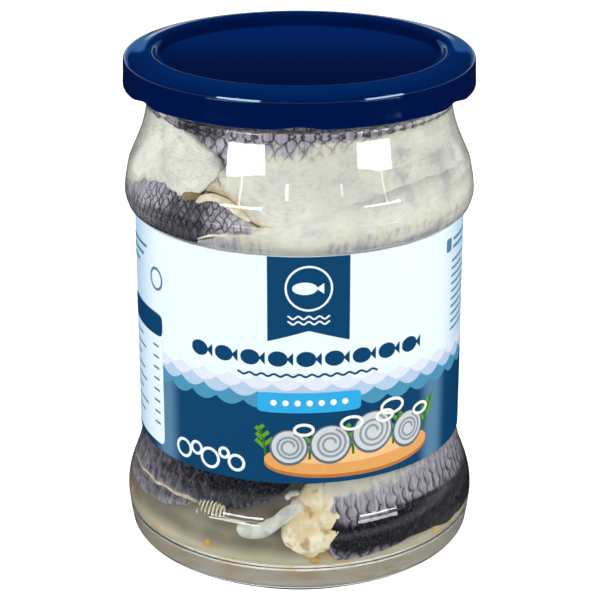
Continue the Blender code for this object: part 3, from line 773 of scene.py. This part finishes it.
# A flat oval section carried along the glass. Round the section, across is the cosine and depth the sine,
# both flattened so that the outer face hugs the wall; the width and thickness fade towards both ends.
def addFillet(name, spec, seed):
    start, end = spec["top"][0][0], spec["top"][-1][0]
    count = int((end - start) / filletMake["step"]) + 1
    angle = np.linspace(start, end, count)[:, None]
    around = np.linspace(0.0, 2.0 * math.pi, filletMake["section"], endpoint=False)[None, :]
    along = np.radians(angle - start) * 40.0
    toEnd = np.minimum(angle - start, end - angle) / spec.get("endTaper", filletMake["endTaper"])
    taper = np.sqrt(np.clip(1.0 - (1.0 - np.clip(toEnd, 0.0, 1.0)) ** 2, 0.0, 1.0))
    wide = filletMake["endWidth"] + (1.0 - filletMake["endWidth"]) * taper
    soft = spec.get("soft", 1.2)
    high = softEdge(spec["top"], angle, soft) + spec["ragged"] * ripple(along, 0.0, 8.0, seed)
    low = softEdge(spec["bottom"], angle, soft) + spec["ragged"] * ripple(along, 5.0, 8.0, seed + 1)
    across = np.sign(np.cos(around)) * np.abs(np.cos(around)) ** 0.62
    inward = np.sign(np.sin(around)) * np.abs(np.sin(around)) ** 0.42
    half = (high - low) / 2.0
    height = (high + low) / 2.0 + half * wide * across
    thickness = spec["thickness"] * (0.3 + 0.7 * taper)
    surfaceV = across * half
    swell = 1.0 + ripple(along + 0.0 * surfaceV, surfaceV, 9.0, seed + 2, 5)
    depth = filletMake["gap"] + spec["behind"] + thickness * (0.5 - 0.5 * inward) + spec["relief"] * swell
    points = onWall(angle, height, depth)

    rows = np.array(spec["shades"], float)
    nodes = np.stack([np.interp(angle[:, 0], rows[:, 0], rows[:, k]) for k in range(1, 6)])
    position = np.clip((across + 1.0) * 2.0, 0.0, 3.999) + 0.0 * angle
    below = position.astype(int)
    part = easeStep(position - below)
    station = np.arange(count)[:, None]
    shade = nodes[below, station] * (1.0 - part) + nodes[below + 1, station] * part
    rimTop, rimBottom = spec["rims"]
    flesh = (rimTop > 0.0) * (1.0 - easeStep((half * (1.0 - across) - rimTop) / 0.5))
    flesh = np.maximum(flesh, (rimBottom > 0.0) * (1.0 - easeStep((half * (1.0 + across) - rimBottom) / 0.5)))
    flesh = flesh * (1.0 - easeStep((angle - spec.get("rimEnd", 400.0)) / 6.0))
    flesh = np.where(inward < -0.1, 1.0, flesh)

    columns = filletMake["section"]
    faces = gridFaces(count, columns, closeColumns=True).tolist()
    faces += [list(range(columns)), list(range((count - 1) * columns, count * columns))]
    uv = np.stack(np.broadcast_arrays(along + spec["behind"] * 31.0, surfaceV), axis=-1)
    piece = addMesh(name, points, faces, {"shade": shade, "flesh": flesh + 0.0 * along}, uv)
    return dress(piece, skinMaterials[spec["pattern"]], "fish")


for number, (name, spec) in enumerate(fillets.items()):
    addFillet(name, spec, 20 + 7 * number)
print("fillets laid")

# Chunk of flesh, onion strips, a curled skin edge and mustard seeds
chunk = {
    "angle": 5.6,
    "height": 20.6,
    "halfWidth": 8.1,
    "halfHeight": 9.2,
    "halfDepth": 3.6,
    "gap": 0.2,
    "lean": -0.22,
    "rows": 110,
    "columns": 150,
    "colours": ("#e9d4a8", "#b98d55", "#f7eed8"),
}
onions = {
    "strips": (  # angle and height points along each strip, its half width, thickness, depth behind the glass, and tone
        (((-20.6, 19.3), (-19.0, 17.8), (-14.0, 17.9), (-9.0, 19.8), (-4.5, 22.4), (1.0, 24.6)), 1.55, 1.8, 0.15, "onion"),
        (((-5.0, 25.8), (-3.0, 27.0), (0.0, 27.4)), 0.7, 1.2, 1.0, "onion"),
        (((-36.5, 98.3), (-33.0, 99.4), (-28.5, 99.7), (-24.5, 98.9), (-20.5, 97.6), (-16.0, 95.8)), 0.75, 1.3, 0.25, "edge"),
        (((-36.0, 90.2), (-30.0, 91.6), (-22.0, 92.2), (-12.0, 92.8)), 0.2, 0.5, 0.2, "edge"),
        (((-42.5, 98.6), (-39.0, 99.1), (-35.5, 99.2)), 0.65, 1.2, 0.2, "olive"),
        (((150.0, 26.0), (158.0, 22.5), (168.0, 21.5), (178.0, 24.0)), 1.5, 1.6, 0.2, "onion"),
        (((208.0, 103.0), (216.0, 106.5), (226.0, 107.2), (236.0, 104.4)), 1.5, 1.6, 0.2, "onion"),
    ),
    "tones": {"onion": ("#dcdbd6", "#b1afa8"), "edge": ("#e9e3d2", "#cbbd9c"), "olive": ("#9c8a63", "#6d5f42")},
}
seeds = {"radius": 1.15, "count": 30, "heights": (9.2, 12.5), "depths": (1.0, 2.6), "tones": ("#b98f45", "#e6bd74")}


# Rounded lump bent to the wall: a sphere read as width, height and depth, roughened by ripples
def addChunk():
    polar = np.linspace(0.0, math.pi, chunk["rows"])[:, None]
    turn = np.linspace(0.0, 2.0 * math.pi, chunk["columns"], endpoint=False)[None, :]
    wide, deep, tall = np.sin(polar) * np.cos(turn), np.sin(polar) * np.sin(turn), np.cos(polar) + 0.0 * turn
    broad = 1.0 + 0.13 * ripple(wide * 8.0, tall * 8.0, 10.0, 71, 2)
    lumps = ripple(wide * 8.0, tall * 8.0 + deep * 5.0, 3.4, 72, 4)
    across = chunk["halfWidth"] * (wide - chunk["lean"] * tall) * (1.0 - 0.3 * np.clip(tall, 0.0, 1.0) ** 2) * broad
    angle = chunk["angle"] + np.degrees(across / 40.0)
    height = chunk["height"] + chunk["halfHeight"] * tall * broad + 0.35 * lumps
    flat = np.sign(deep) * np.abs(deep) ** 0.6
    depth = chunk["gap"] + chunk["halfDepth"] * (1.0 - flat) + 0.45 * (1.0 + lumps)
    piece = addMesh("fleshChunk", onWall(angle, height, depth), gridFaces(chunk["rows"], chunk["columns"], closeColumns=True))
    material, tree, shader = newMaterial("curedFlesh")  # pale cured fish flesh, matt and softly blotched
    place = addNode(tree, "ShaderNodeTexCoord")
    blotch = addNode(tree, "ShaderNodeTexNoise", {"Vector": place.outputs["Object"], "Scale": 230.0, "Detail": 4.0})
    brown = addNode(tree, "ShaderNodeTexNoise", {"Vector": place.outputs["Object"], "Scale": 300.0, "Detail": 3.0})
    pale = addNode(tree, "ShaderNodeMapRange", {"Value": blotch.outputs["Fac"], "From Min": 0.42, "From Max": 0.62})
    warm = addNode(tree, "ShaderNodeMapRange", {"Value": brown.outputs["Fac"], "From Min": 0.56, "From Max": 0.7, "To Max": 0.75})
    base = addNode(tree, "ShaderNodeMix", {
        0: pale.outputs["Result"], 6: toLinear(chunk["colours"][0]), 7: toLinear(chunk["colours"][2])}, data_type="RGBA")
    spotted = addNode(tree, "ShaderNodeMix", {
        0: warm.outputs["Result"], 6: base.outputs[2], 7: toLinear(chunk["colours"][1])}, data_type="RGBA")
    tree.links.new(spotted.outputs[2], shader.inputs["Base Color"])
    bump = addNode(tree, "ShaderNodeBump", {"Height": blotch.outputs["Fac"], "Strength": 0.5, "Distance": 0.0007})
    tree.links.new(bump.outputs["Normal"], shader.inputs["Normal"])
    shader.inputs["Roughness"].default_value = 0.55
    shader.inputs["Specular IOR Level"].default_value = 0.05
    return dress(piece, material, "fish")


# A strip: an oval section carried along a smooth line on the glass, closed and rounded at both ends
def addStrip(name, line, halfWidth, thickness, behind):
    given = np.array(line)
    t = np.linspace(0.0, 1.0, 110)
    stations = np.linspace(0.0, 1.0, len(given))
    kernel = np.exp(-0.5 * (np.arange(-14, 15) / 5.0) ** 2)
    kernel /= kernel.sum()
    angles, heights = [
        np.convolve(np.pad(np.interp(t, stations, values), 14, mode="reflect", reflect_type="odd"), kernel, mode="valid")
        for values in given.T]
    slopeA, slopeZ = np.gradient(angles) * math.radians(1.0) * 40.0, np.gradient(heights)
    length = np.hypot(slopeA, slopeZ)
    around = np.linspace(0.0, 2.0 * math.pi, 28, endpoint=False)[None, :]
    end = np.sqrt(np.clip(1.0 - (2.0 * t - 1.0) ** 8, 0.0, 1.0))[:, None] + 0.02
    rough = 1.0 + 0.12 * ripple(t[:, None] * 20.0, 2.0 * np.sin(around), 5.0, len(line))
    side = halfWidth * end * rough * np.cos(around)
    depth = behind + thickness * (0.5 - 0.5 * end * np.sin(around)) + 0.0 * side
    angle = angles[:, None] - np.degrees(side * (slopeZ / length)[:, None] / 40.0)
    height = heights[:, None] + side * (slopeA / length)[:, None]
    rows, columns = len(t), around.shape[1]
    faces = gridFaces(rows, columns, closeColumns=True).tolist()
    faces += [list(range(columns)), list(range((rows - 1) * columns, rows * columns))]
    return addMesh(name, onWall(angle, height, depth), faces)


# A curl: a thin tube carried along a coil that lies on the wall. Its turns rise and fall by the sine and go in and out
# by the cosine; each ring of the tube stands across the path, on the radial direction and its cross product.
def addCurl(name, start, end, height, turns, rise, reach, radius):
    t = np.linspace(0.0, 1.0, 46 * turns)
    swing = 2.0 * math.pi * turns * t
    fade = 1.0 - 0.35 * (2.0 * t - 1.0) ** 2
    path = onWall(start + (end - start) * t, height + rise * fade * np.sin(swing), radius + 0.3 + reach * (1.0 - np.cos(swing)))
    tangent = np.gradient(path, axis=0)
    tangent /= np.linalg.norm(tangent, axis=1, keepdims=True)
    outward = path * (1.0, 1.0, 0.0)
    outward -= tangent * np.sum(outward * tangent, axis=1, keepdims=True)
    outward /= np.linalg.norm(outward, axis=1, keepdims=True)
    sideways = np.cross(tangent, outward)
    around = np.linspace(0.0, 2.0 * math.pi, 10, endpoint=False)[None, :, None]
    points = path[:, None] + radius * (np.cos(around) * outward[:, None] + np.sin(around) * sideways[:, None])
    faces = gridFaces(len(t), 10, closeColumns=True).tolist()
    faces += [list(range(10)), list(range((len(t) - 1) * 10, len(t) * 10))]
    return addMesh(name, points, faces)


# Soaked onion and skin edges: pale, wet and glossy, with faint veins
def palePickle(name, light, dark):
    material, tree, shader = newMaterial(name)
    place = addNode(tree, "ShaderNodeTexCoord")
    veins = addNode(tree, "ShaderNodeTexNoise", {"Vector": place.outputs["Object"], "Scale": 330.0, "Detail": 3.0})
    amount = addNode(tree, "ShaderNodeMapRange", {"Value": veins.outputs["Fac"], "From Min": 0.35, "From Max": 0.65})
    tone = addNode(tree, "ShaderNodeMix", {0: amount.outputs["Result"], 6: toLinear(dark), 7: toLinear(light)}, data_type="RGBA")
    tree.links.new(tone.outputs[2], shader.inputs["Base Color"])
    shader.inputs["Roughness"].default_value = 0.3
    shader.inputs["Specular IOR Level"].default_value = 0.06
    return material


# Mustard seeds: one small ball copied to seeded places behind the glass
def addSeeds():
    draw = np.random.default_rng(5)
    polar = np.linspace(0.0, math.pi, 9)[:, None]
    turn = np.linspace(0.0, 2.0 * math.pi, 12, endpoint=False)[None, :]
    ball = np.stack(np.broadcast_arrays(np.sin(polar) * np.cos(turn), np.sin(polar) * np.sin(turn), np.cos(polar)), axis=-1)
    angles = draw.uniform(-180.0, 180.0, seeds["count"])
    heights = draw.uniform(*seeds["heights"], seeds["count"])
    depths = draw.uniform(*seeds["depths"], seeds["count"]) + seeds["radius"]
    sizes = seeds["radius"] * draw.uniform(0.8, 1.1, seeds["count"])
    points = onWall(angles, heights, depths)[:, None, None, :] + ball[None] * sizes[:, None, None, None]
    single = gridFaces(9, 12, closeColumns=True)
    faces = (single[None] + np.arange(seeds["count"])[:, None, None] * ball.shape[0] * ball.shape[1]).reshape(-1, 4)
    piece = addMesh("mustardSeeds", points, faces)
    return dress(piece, palePickle("mustardSeed", seeds["tones"][1], seeds["tones"][0]), "fish")


addChunk()
pickle = {key: palePickle(key + "Pickled", *tones) for key, tones in onions["tones"].items()}
for number, (line, halfWidth, thickness, behind, tone) in enumerate(onions["strips"]):
    dress(addStrip(f"{tone}Strip{number + 1}", line, halfWidth, thickness, behind), pickle[tone], "fish")
dress(addCurl("curledEdge", -37.0, -26.5, 21.2, 7, 1.5, 0.55, 0.24), pickle["edge"], "fish")
addSeeds()
print("chunk, onion and seeds placed")

# Lid: pressed steel with a sunk panel, a raised crest, a rounded shoulder and a curled edge pressed in at six lugs
lid = {
    "radius": lidHigh[0],
    "bottom": lidLow[2],
    "crest": lidHigh[2],
    "crestRadius": 36.2,
    "shoulder": 125.0,
    "panelRadius": 34.3,
    "panelDepth": 1.8,
    "sheet": 0.5,
    "curl": 0.75,
    "lugs": 6,
    "lugWidth": 12.0,
    "lugReach": 1.4,
    "lugLift": 0.5,
    "sides": 240,
    "enamel": "#001244",  # skirt and sunk panel
    "enamelPaintedLight": "#002a66",  # painted light: the raised crest and the slope down to the shoulder drawn lighter, as if more light fell on them
    "specularTint": (0.55, 0.80, 1.0),
}


# A profile through its corner points, softened by averaging along its length
def softProfile(points, spacing=0.25, softness=0.55):
    points = np.array(points, float)
    travel = np.concatenate(([0.0], np.cumsum(np.hypot(*np.diff(points, axis=0).T))))
    fine = np.linspace(0.0, travel[-1], int(travel[-1] / spacing))
    reach = int(3.0 * softness / spacing)
    kernel = np.exp(-0.5 * (np.arange(-reach, reach + 1) * spacing / softness) ** 2)
    kernel /= kernel.sum()
    sides = [np.convolve(np.pad(np.interp(fine, travel, points[:, k]), reach, mode="reflect", reflect_type="odd"), kernel,
                         mode="valid") for k in (0, 1)]
    return np.stack(sides, axis=-1)


def pressLid():
    panel = lid["crest"] - lid["panelDepth"]
    curl = lid["bottom"] + lid["curl"]
    radius = lid["radius"]
    top = softProfile([
        (20.0, panel),
        (lid["panelRadius"] - 0.7, panel),
        (lid["panelRadius"] - 0.1, panel + 0.4),
        (lid["panelRadius"] + 0.5, lid["crest"] - 0.1),
        (lid["crestRadius"], lid["crest"] + 0.1),
        (lid["crestRadius"] + 2.4, lid["crest"] - 0.5),
        (radius - 1.1, lid["shoulder"] + 0.8),
        (radius - 0.2, lid["shoulder"]),
        (radius - 0.1, curl + 2.2),
        (radius, curl + 0.4),
    ])
    turnUnder = np.linspace(0.0, math.pi * 1.25, 16)
    rim = np.stack((radius - lid["curl"] + lid["curl"] * np.cos(turnUnder), curl - lid["curl"] * np.sin(turnUnder)), axis=-1)
    under = softProfile([
        (radius - lid["sheet"] - 0.6, curl + 2.6),
        (radius - lid["sheet"] - 0.5, lid["shoulder"] - 0.7),
        (radius - lid["sheet"] - 1.4, lid["shoulder"] + 0.3),
        (lid["crestRadius"] + 2.2, lid["crest"] - 0.5 - lid["sheet"]),
        (lid["crestRadius"], lid["crest"] - lid["sheet"]),
        (lid["panelRadius"] + lid["sheet"] + 0.3, lid["crest"] - 0.6 - lid["sheet"]),
        (lid["panelRadius"] + 0.1, panel - lid["sheet"]),
        (20.0, panel - lid["sheet"]),
    ])
    top[:, 1] = np.minimum(top[:, 1], lid["crest"])
    profile = np.concatenate(([(0.0, panel)], top, rim[1:], under, [(0.0, panel - lid["sheet"])]))

    # Lugs: below the skirt the edge moves inwards and up by an eased amount near each sixth of the turn
    def pressLugs(angle, radius, height):
        pitch = 360.0 / lid["lugs"]
        offCentre = np.radians(np.abs((angle + pitch / 2.0) % pitch - pitch / 2.0)) * radius
        press = easeStep(1.0 - offCentre / (lid["lugWidth"] / 2.0))
        low = easeStep((lid["bottom"] + 3.0 - height) / 2.4) * (radius > 36.0)
        inner = easeStep((lid["radius"] - 0.3 - radius) / 0.8)
        return radius - press * low * lid["lugReach"] * (0.45 + 0.55 * inner), height + press * low * lid["lugLift"]

    piece = addTurned("lidShell", profile, fullTurn(lid["sides"]), relief=pressLugs)
    material, tree, shader = newMaterial("bakedEnamel")  # deep glossy enamel over steel: clear reflections
    place = addNode(tree, "ShaderNodeTexCoord")
    grain = addNode(tree, "ShaderNodeTexNoise", {"Vector": place.outputs["Object"], "Scale": 1400.0, "Detail": 2.0})
    worn = addNode(tree, "ShaderNodeMapRange", {"Value": grain.outputs["Fac"], "To Min": 0.05, "To Max": 0.085})
    tree.links.new(worn.outputs["Result"], shader.inputs["Roughness"])
    # Painted light: the crest and the slope down to the shoulder take a lighter blue than the skirt and the panel
    flat = addNode(tree, "ShaderNodeVectorMath", {0: place.outputs["Object"], 1: (1.0, 1.0, 0.0)}, operation="MULTIPLY")
    across = addNode(tree, "ShaderNodeVectorMath", {0: flat.outputs[0]}, operation="LENGTH")
    parts = addNode(tree, "ShaderNodeSeparateXYZ", {0: place.outputs["Object"]})
    beyond = addNode(tree, "ShaderNodeMapRange", {
        "Value": across.outputs["Value"], "From Min": (lid["panelRadius"] - 0.4) * mm, "From Max": lid["crestRadius"] * mm})
    above = addNode(tree, "ShaderNodeMapRange", {
        "Value": parts.outputs["Z"], "From Min": (lid["shoulder"] - 0.6) * mm, "From Max": (lid["shoulder"] + 1.4) * mm})
    raised = addNode(tree, "ShaderNodeMath", {0: beyond.outputs["Result"], 1: above.outputs["Result"]}, operation="MULTIPLY")
    tone = addNode(tree, "ShaderNodeMix", {
        0: raised.outputs[0], 6: toLinear(lid["enamel"]), 7: toLinear(lid["enamelPaintedLight"])}, data_type="RGBA")
    tree.links.new(tone.outputs[2], shader.inputs["Base Color"])
    shader.inputs["Specular Tint"].default_value = (*lid["specularTint"], 1.0)
    return dress(piece, material, "lid", "lid")


pressLid()
print("lid pressed")

# Label: a paper sleeve with printed fields of colour. Angles and heights of the print are those on the jar.
label = {
    "radius": labelHigh[0],
    "bottom": labelLow[2],
    "top": labelHigh[2],
    "inner": 39.42,
    "layer": 0.02,  # how far each ink stands off the one below it
    "paper": "#e7f4fb",
    "fade": "#a9cfe8",  # painted shade: the paper's colour towards both sides, where less light falls
    # painted highlight: a soft light streak on the navy print towards both sides
    "sheen": "#6f9fbe",
    "navy": "#00416b",
    "teal": "#4892b5",
    "mist": "#b3cbe2",
    "pearl": "#dfe3f0",
    "sky": "#2da9e1",
    "board": "#e2a45e",
    "boardLight": "#efc184",
    "crust": "#b8763a",
    "skin": "#5d6d7c",
    "silver": "#cdd2d4",
    "fold": "#8b98a2",
    "leaf": "#5f9e2c",
    "leafDark": "#39701f",
    "onion": "#f5f3ea",
    "grey": "#54809c",
}


# Coated label paper, printed and varnished: even colour with a faint grain and a soft gloss. Towards both sides it
# takes on
# painted light: a second colour, by how far the point lies from the middle plane, standing for shade or a highlight
# streak.
def printedPaper(name, hexColour, second=None, start=30.0, end=40.0, most=1.0, last=60.0):
    material, tree, shader = newMaterial(name)
    place = addNode(tree, "ShaderNodeTexCoord")
    grain = addNode(tree, "ShaderNodeTexNoise", {"Vector": place.outputs["Object"], "Scale": 900.0, "Detail": 3.0})
    thin = np.array(toLinear(hexColour)) * 0.9
    tone = addNode(tree, "ShaderNodeMix", {
        0: grain.outputs["Fac"], 6: toLinear(hexColour), 7: (*thin[:3].tolist(), 1.0)}, data_type="RGBA")
    colour = tone.outputs[2]
    amounts = []
    if second:
        parts = addNode(tree, "ShaderNodeSeparateXYZ", {0: place.outputs["Object"]})
        aside = addNode(tree, "ShaderNodeMath", {0: parts.outputs["X"]}, operation="ABSOLUTE")
        for low, high, least, most in ((start, end, 0.0, most), (last, last + 3.0, 1.0, 0.0)):
            reach = addNode(tree, "ShaderNodeMapRange", {
                "Value": aside.outputs[0], "From Min": low * mm, "From Max": high * mm, "To Min": least, "To Max": most},
                interpolation_type="SMOOTHSTEP")
            amounts.append(reach.outputs["Result"])
        amount = addNode(tree, "ShaderNodeMath", {0: amounts[0], 1: amounts[1]}, operation="MULTIPLY")
        colour = addNode(tree, "ShaderNodeMix", {0: amount.outputs[0], 6: colour, 7: toLinear(second)}, data_type="RGBA").outputs[2]
    tree.links.new(colour, shader.inputs["Base Color"])
    shader.inputs["Roughness"].default_value = 0.4
    shader.inputs["Specular IOR Level"].default_value = 0.06
    return material


# One strip of ink: for each angle a low and a high edge, closed into a thin slab on the paper
def inkStrip(angle, low, high, layer):
    outer = label["radius"] + label["layer"] * layer
    inner = label["radius"] - 0.05
    angle, low, high = np.broadcast_arrays(angle, low, high)
    section = [roundAxis(angle, radius, z) for radius, z in ((outer, low), (outer, high), (inner, high), (inner, low))]
    return np.stack(section, axis=1), False


# A ribbon of ink along a path: half its width to each side of the path, at right angles to it
def inkBand(angle, height, width, layer, closed=False):
    outer = label["radius"] + label["layer"] * layer
    scale = math.radians(1.0) * outer
    if closed:
        stepA, stepZ = [np.roll(values, -1) - np.roll(values, 1) for values in (angle * scale, height)]
    else:
        stepA, stepZ = np.gradient(angle * scale), np.gradient(height)
    length = np.hypot(stepA, stepZ)
    sideA, sideZ = -stepZ / length * width / 2.0 / scale, stepA / length * width / 2.0
    section = [roundAxis(angle + sign * sideA, radius, height + sign * sideZ)
               for radius, sign in ((outer, -1.0), (outer, 1.0), (label["radius"] - 0.05, 1.0), (label["radius"] - 0.05, -1.0))]
    return np.stack(section, axis=1), closed


def addInk(name, strips, colour, **fading):
    points, faces, start = [], [], 0
    for strip, closed in strips:
        count = len(strip)
        points.append(strip.reshape(-1, 3))
        faces += (gridFaces(count, 4, closeRows=closed, closeColumns=True) + start).tolist()
        if not closed:
            faces += [[start + k for k in range(4)], [start + (count - 1) * 4 + k for k in range(4)]]
        start += count * 4
    piece = addMesh(name, np.concatenate(points), faces, smooth=False)
    return dress(piece, printedPaper(name + "Ink", label[colour], **fading), "label")


# Rounded block: a superellipse about its centre, half its width in degrees; power 2 is an ellipse
def inkBlock(centre, z, halfWide, halfTall, layer, power=6.0):
    t = np.sin(np.linspace(-1.0, 1.0, max(int(halfWide * 3.0), 17)) * math.pi / 2.0)
    tall = halfTall * (1.0 - np.abs(t) ** power) ** (1.0 / power)
    return inkStrip(centre + t * halfWide, z - tall, z + tall, layer)


def inkDisc(centre, z, radius, layer):
    return inkBlock(centre, z, math.degrees(radius / label["radius"]), radius, layer, power=2.0)


def bar(left, right, low, high, layer):
    angle = np.linspace(left, right, max(int((right - left) / 1.2), 2))
    return inkStrip(angle, low + 0.0 * angle, high + 0.0 * angle, layer)


# Spiral or ring: the radius goes from one value to the other over the given turns
def inkSpiral(centre, z, inner, outer, turns, width, layer, squash=1.0):
    around = np.linspace(0.0, 2.0 * math.pi * turns, int(28 * turns), endpoint=inner != outer)
    radius = np.linspace(inner, outer, len(around))
    angle = centre + np.degrees(radius * np.cos(around) / label["radius"])
    return inkBand(angle, z + squash * radius * np.sin(around), width, layer, closed=inner == outer)


# Fish seen from the side: an oval body, then a tail that widens
def inkFish(centre, z, halfLong, halfTall, layer):
    t = np.linspace(-1.0, 1.0, 29)
    body = np.sqrt(np.clip(1.0 - ((t + 0.22) / 0.8) ** 2, 0.0, 1.0))
    tail = np.clip((t - 0.48) / 0.52, 0.0, 1.0) * 0.85
    half = halfTall * np.maximum(np.maximum(body, tail), 0.08)
    return inkStrip(centre + t * halfLong, z - half, z + half, layer)


def wrapLabel():
    inner, outer = label["inner"], label["radius"]
    profile = [(outer, label["bottom"]), (outer, label["top"]), (inner, label["top"]), (inner, label["bottom"])]
    piece = addTurned("labelPaper", profile, fullTurn(300), closed=True)
    piece.data.set_sharp_from_angle(angle=math.radians(40.0))
    # The paper turns blue-grey towards both sides: painted shade
    dress(piece, printedPaper("labelPaperWhite", label["paper"], label["fade"], 33.0, 41.0), "label", "label")


# Rows of round scales all round: each row's upper edge is a run of arcs that sag between cusps, every other row
# shifted by half a scale
def printScales():
    angle = np.arange(0.0, 360.01, 0.5)
    pitch, first = 10.0, -34.1
    rows = (("scalesPearl", 57.2, 1.3, 0.5, "pearl", 1), ("scalesMist", 55.1, 1.6, 0.0, "mist", 2),
            ("scalesTeal", 53.0, 1.6, 0.5, "teal", 3), ("scalesNavy", 50.4, 1.6, 0.0, "navy", 4))
    for name, level, sag, shift, colour, layer in rows:
        place = ((angle - first) / pitch + shift + 0.5) % 1.0 - 0.5
        arcs = level + sag * 4.0 * place * place
        strip, _ = inkStrip(angle[:-1], label["bottom"] + 0.0 * angle[:-1], arcs[:-1], layer)
        # The navy row takes a lighter band near both sides: a painted highlight streak
        fading = {"second": label["sheen"], "start": 28.0, "end": 31.5, "most": 0.55, "last": 32.5} if colour == "navy" else {}
        addInk(name, [(strip, True)], colour, **fading)


# Banner with a notched foot, and on it a fish in a ring over two waves
def printBanner():
    middle, half = 3.1, 13.7
    angle = np.linspace(middle - half, middle + half, 30)
    low = 67.3 + 2.8 * (1.0 - np.abs(angle - middle) / half)
    addInk("banner", [inkStrip(angle, low, label["top"] + 0.0 * angle, 1)], "navy")
    wave = np.linspace(-7.0, 7.0, 40)
    marks = [inkSpiral(middle, 80.4, 5.3, 5.3, 1.0, 0.5, 2), inkFish(middle - 0.2, 80.4, 5.2, 1.5, 2)]
    marks += [inkBand(middle + wave, z + 0.35 * np.cos(wave * 1.8), 0.4, 2) for z in (73.3, 72.0)]
    addInk("bannerMark", marks, "paper")


# A shoal in place of a headline, a wave below it and a rounded patch with dots
def printShoal():
    addInk("shoal", [inkFish(angle, 63.0, 4.2, 1.9, 1) for angle in np.linspace(-34.6, 41.0, 9)], "navy")
    wave = np.linspace(-21.0, 27.0, 120)
    addInk("wave", [inkBand(wave, 58.9 + 0.3 * np.cos(wave * 1.5), 0.45, 6)], "navy")
    addInk("patch", [inkBlock(3.4, 52.0, 17.6, 2.5, 7, power=9.0)], "sky")
    addInk("patchDots", [inkDisc(angle, 52.0, 0.75, 8) for angle in np.linspace(-8.6, 15.4, 7)], "onion")


# Rolled fillets on an oval board, with onion rings and sprigs
def printServing():
    rolls = ((-3.5, 40.6, 4.6), (10.5, 41.2, 5.0), (25.5, 43.0, 5.4), (40.0, 41.4, 4.7))
    addInk("boardShade", [inkBlock(18.6, 36.6, 30.5, 4.1, 5, power=2.4)], "crust")
    addInk("board", [inkBlock(18.6, 37.4, 30.5, 4.0, 6, power=2.4)], "board")
    addInk("boardLight", [inkBlock(17.0, 38.4, 25.0, 2.2, 7, power=2.0)], "boardLight")
    sprigs, leaves = [], []
    for centre, z, lean in ((-11.5, 38.4, -0.3), (3.4, 37.6, 0.4), (18.4, 38.2, -0.4), (33.6, 38.6, 0.3), (48.0, 40.0, 0.5)):
        t = np.linspace(0.0, 1.0, 12)
        stemA, stemZ = centre + lean * 8.0 * t * t, z + 7.5 * t
        sprigs.append(inkBand(stemA, stemZ, 0.6, 8))
        for k, side in ((3, -1.0), (4, 1.0), (6, -1.0), (7, 1.0), (9, -1.0), (10, 1.0)):
            reach = 1.3 - 0.08 * k
            leaves.append(inkBand(stemA[k] + side * 3.6 * reach * t[::3], stemZ[k] + 2.2 * reach * t[::3], 0.95, 8))
    addInk("sprigStems", sprigs, "leafDark")
    addInk("sprigLeaves", leaves, "leaf")
    addInk("rollSkins", [inkDisc(angle, z, radius, 9) for angle, z, radius in rolls], "skin")
    addInk("rolls", [inkDisc(angle, z + 0.2, radius - 0.5, 10) for angle, z, radius in rolls], "silver")
    addInk("rollFolds", [inkSpiral(angle, z + 0.2, 1.2, radius - 1.2, 2.2, 0.6, 11) for angle, z, radius in rolls], "fold")
    rings = [inkSpiral(angle, z, radius, radius, 1.0, 0.7, 12, 0.6)
             for angle, z, radius in ((17.8, 46.2, 2.6), (33.0, 48.6, 3.0), (1.5, 45.2, 2.2), (30.0, 46.6, 2.2), (45.6, 45.6, 2.2))]
    addInk("onionRings", rings, "onion")


# Bubbles in place of figures: small rings rising from left to right
def printBubbles():
    spots = ((-43.5, 35.6, 2.2), (-37.6, 36.8, 1.5), (-32.0, 35.2, 2.4), (-26.4, 37.4, 1.2), (-21.8, 35.4, 1.9))
    addInk("bubbles", [inkSpiral(angle, z, radius, radius, 1.0, 0.75, 5) for angle, z, radius in spots], "paper")


# Pale side panels, with rounded bars in the place of small print, and a plain panel at the back
def printPanels():
    # The side panel darkens as it turns away: painted shade
    addInk("sidePanel", [inkBlock(-69.0, 50.0, 14.5, 17.0, 5, power=16.0)], "paper", second=label["fade"], start=34.0, end=42.0)
    addInk("sideHeader", [inkBlock(-69.0, 64.2, 14.5, 2.9, 6, power=7.0)], "navy")
    lines = [bar(-80.0, -80.0 + wide, z, z + 0.55, 6) for wide, z in zip((9, 13, 7, 12, 10, 6, 12, 9), np.arange(38.0, 60.0, 2.9))]
    lines += [bar(-61.0, -57.0, z, z + 0.55, 6) for z in np.arange(38.0, 60.0, 2.9)]
    lines += [bar(-82.0, -82.0 + wide, z, z + 0.6, 6) for wide, z in ((17.0, 82.0), (14.0, 79.6), (9.0, 77.2))]
    addInk("sideLines", lines, "grey")
    addInk("sideRing", [inkSpiral(-57.8, 75.8, 2.6, 2.6, 1.0, 0.7, 1)], "grey")
    right = [bar(65.0, 65.0 + wide, z, z + 0.6, 1) for wide, z in zip((16, 18, 18, 13, 17, 18, 15, 18, 12, 16), np.arange(60.8, 80.0, 1.95))]
    right += [inkBlock(62.2, 83.2, 2.0, 1.7, 1, power=5.0), bar(66.0, 82.0, 83.6, 84.4, 1), bar(66.0, 78.0, 81.6, 82.4, 1)]
    addInk("rightLines", right, "grey")
    addInk("backPanel", [inkBlock(180.0, 59.0, 34.0, 25.0, 5, power=16.0)], "paper")
    addInk("backLines", [bar(150.0, 150.0 + wide, z, z + 0.7, 6)
                         for wide, z in zip((58, 60, 44, 60, 52, 60, 36, 60, 56, 48), np.arange(39.0, 80.0, 4.2))], "grey")


wrapLabel()
printScales()
printBanner()
printShoal()
printServing()
printBubbles()
printPanels()
print("label wrapped and printed")
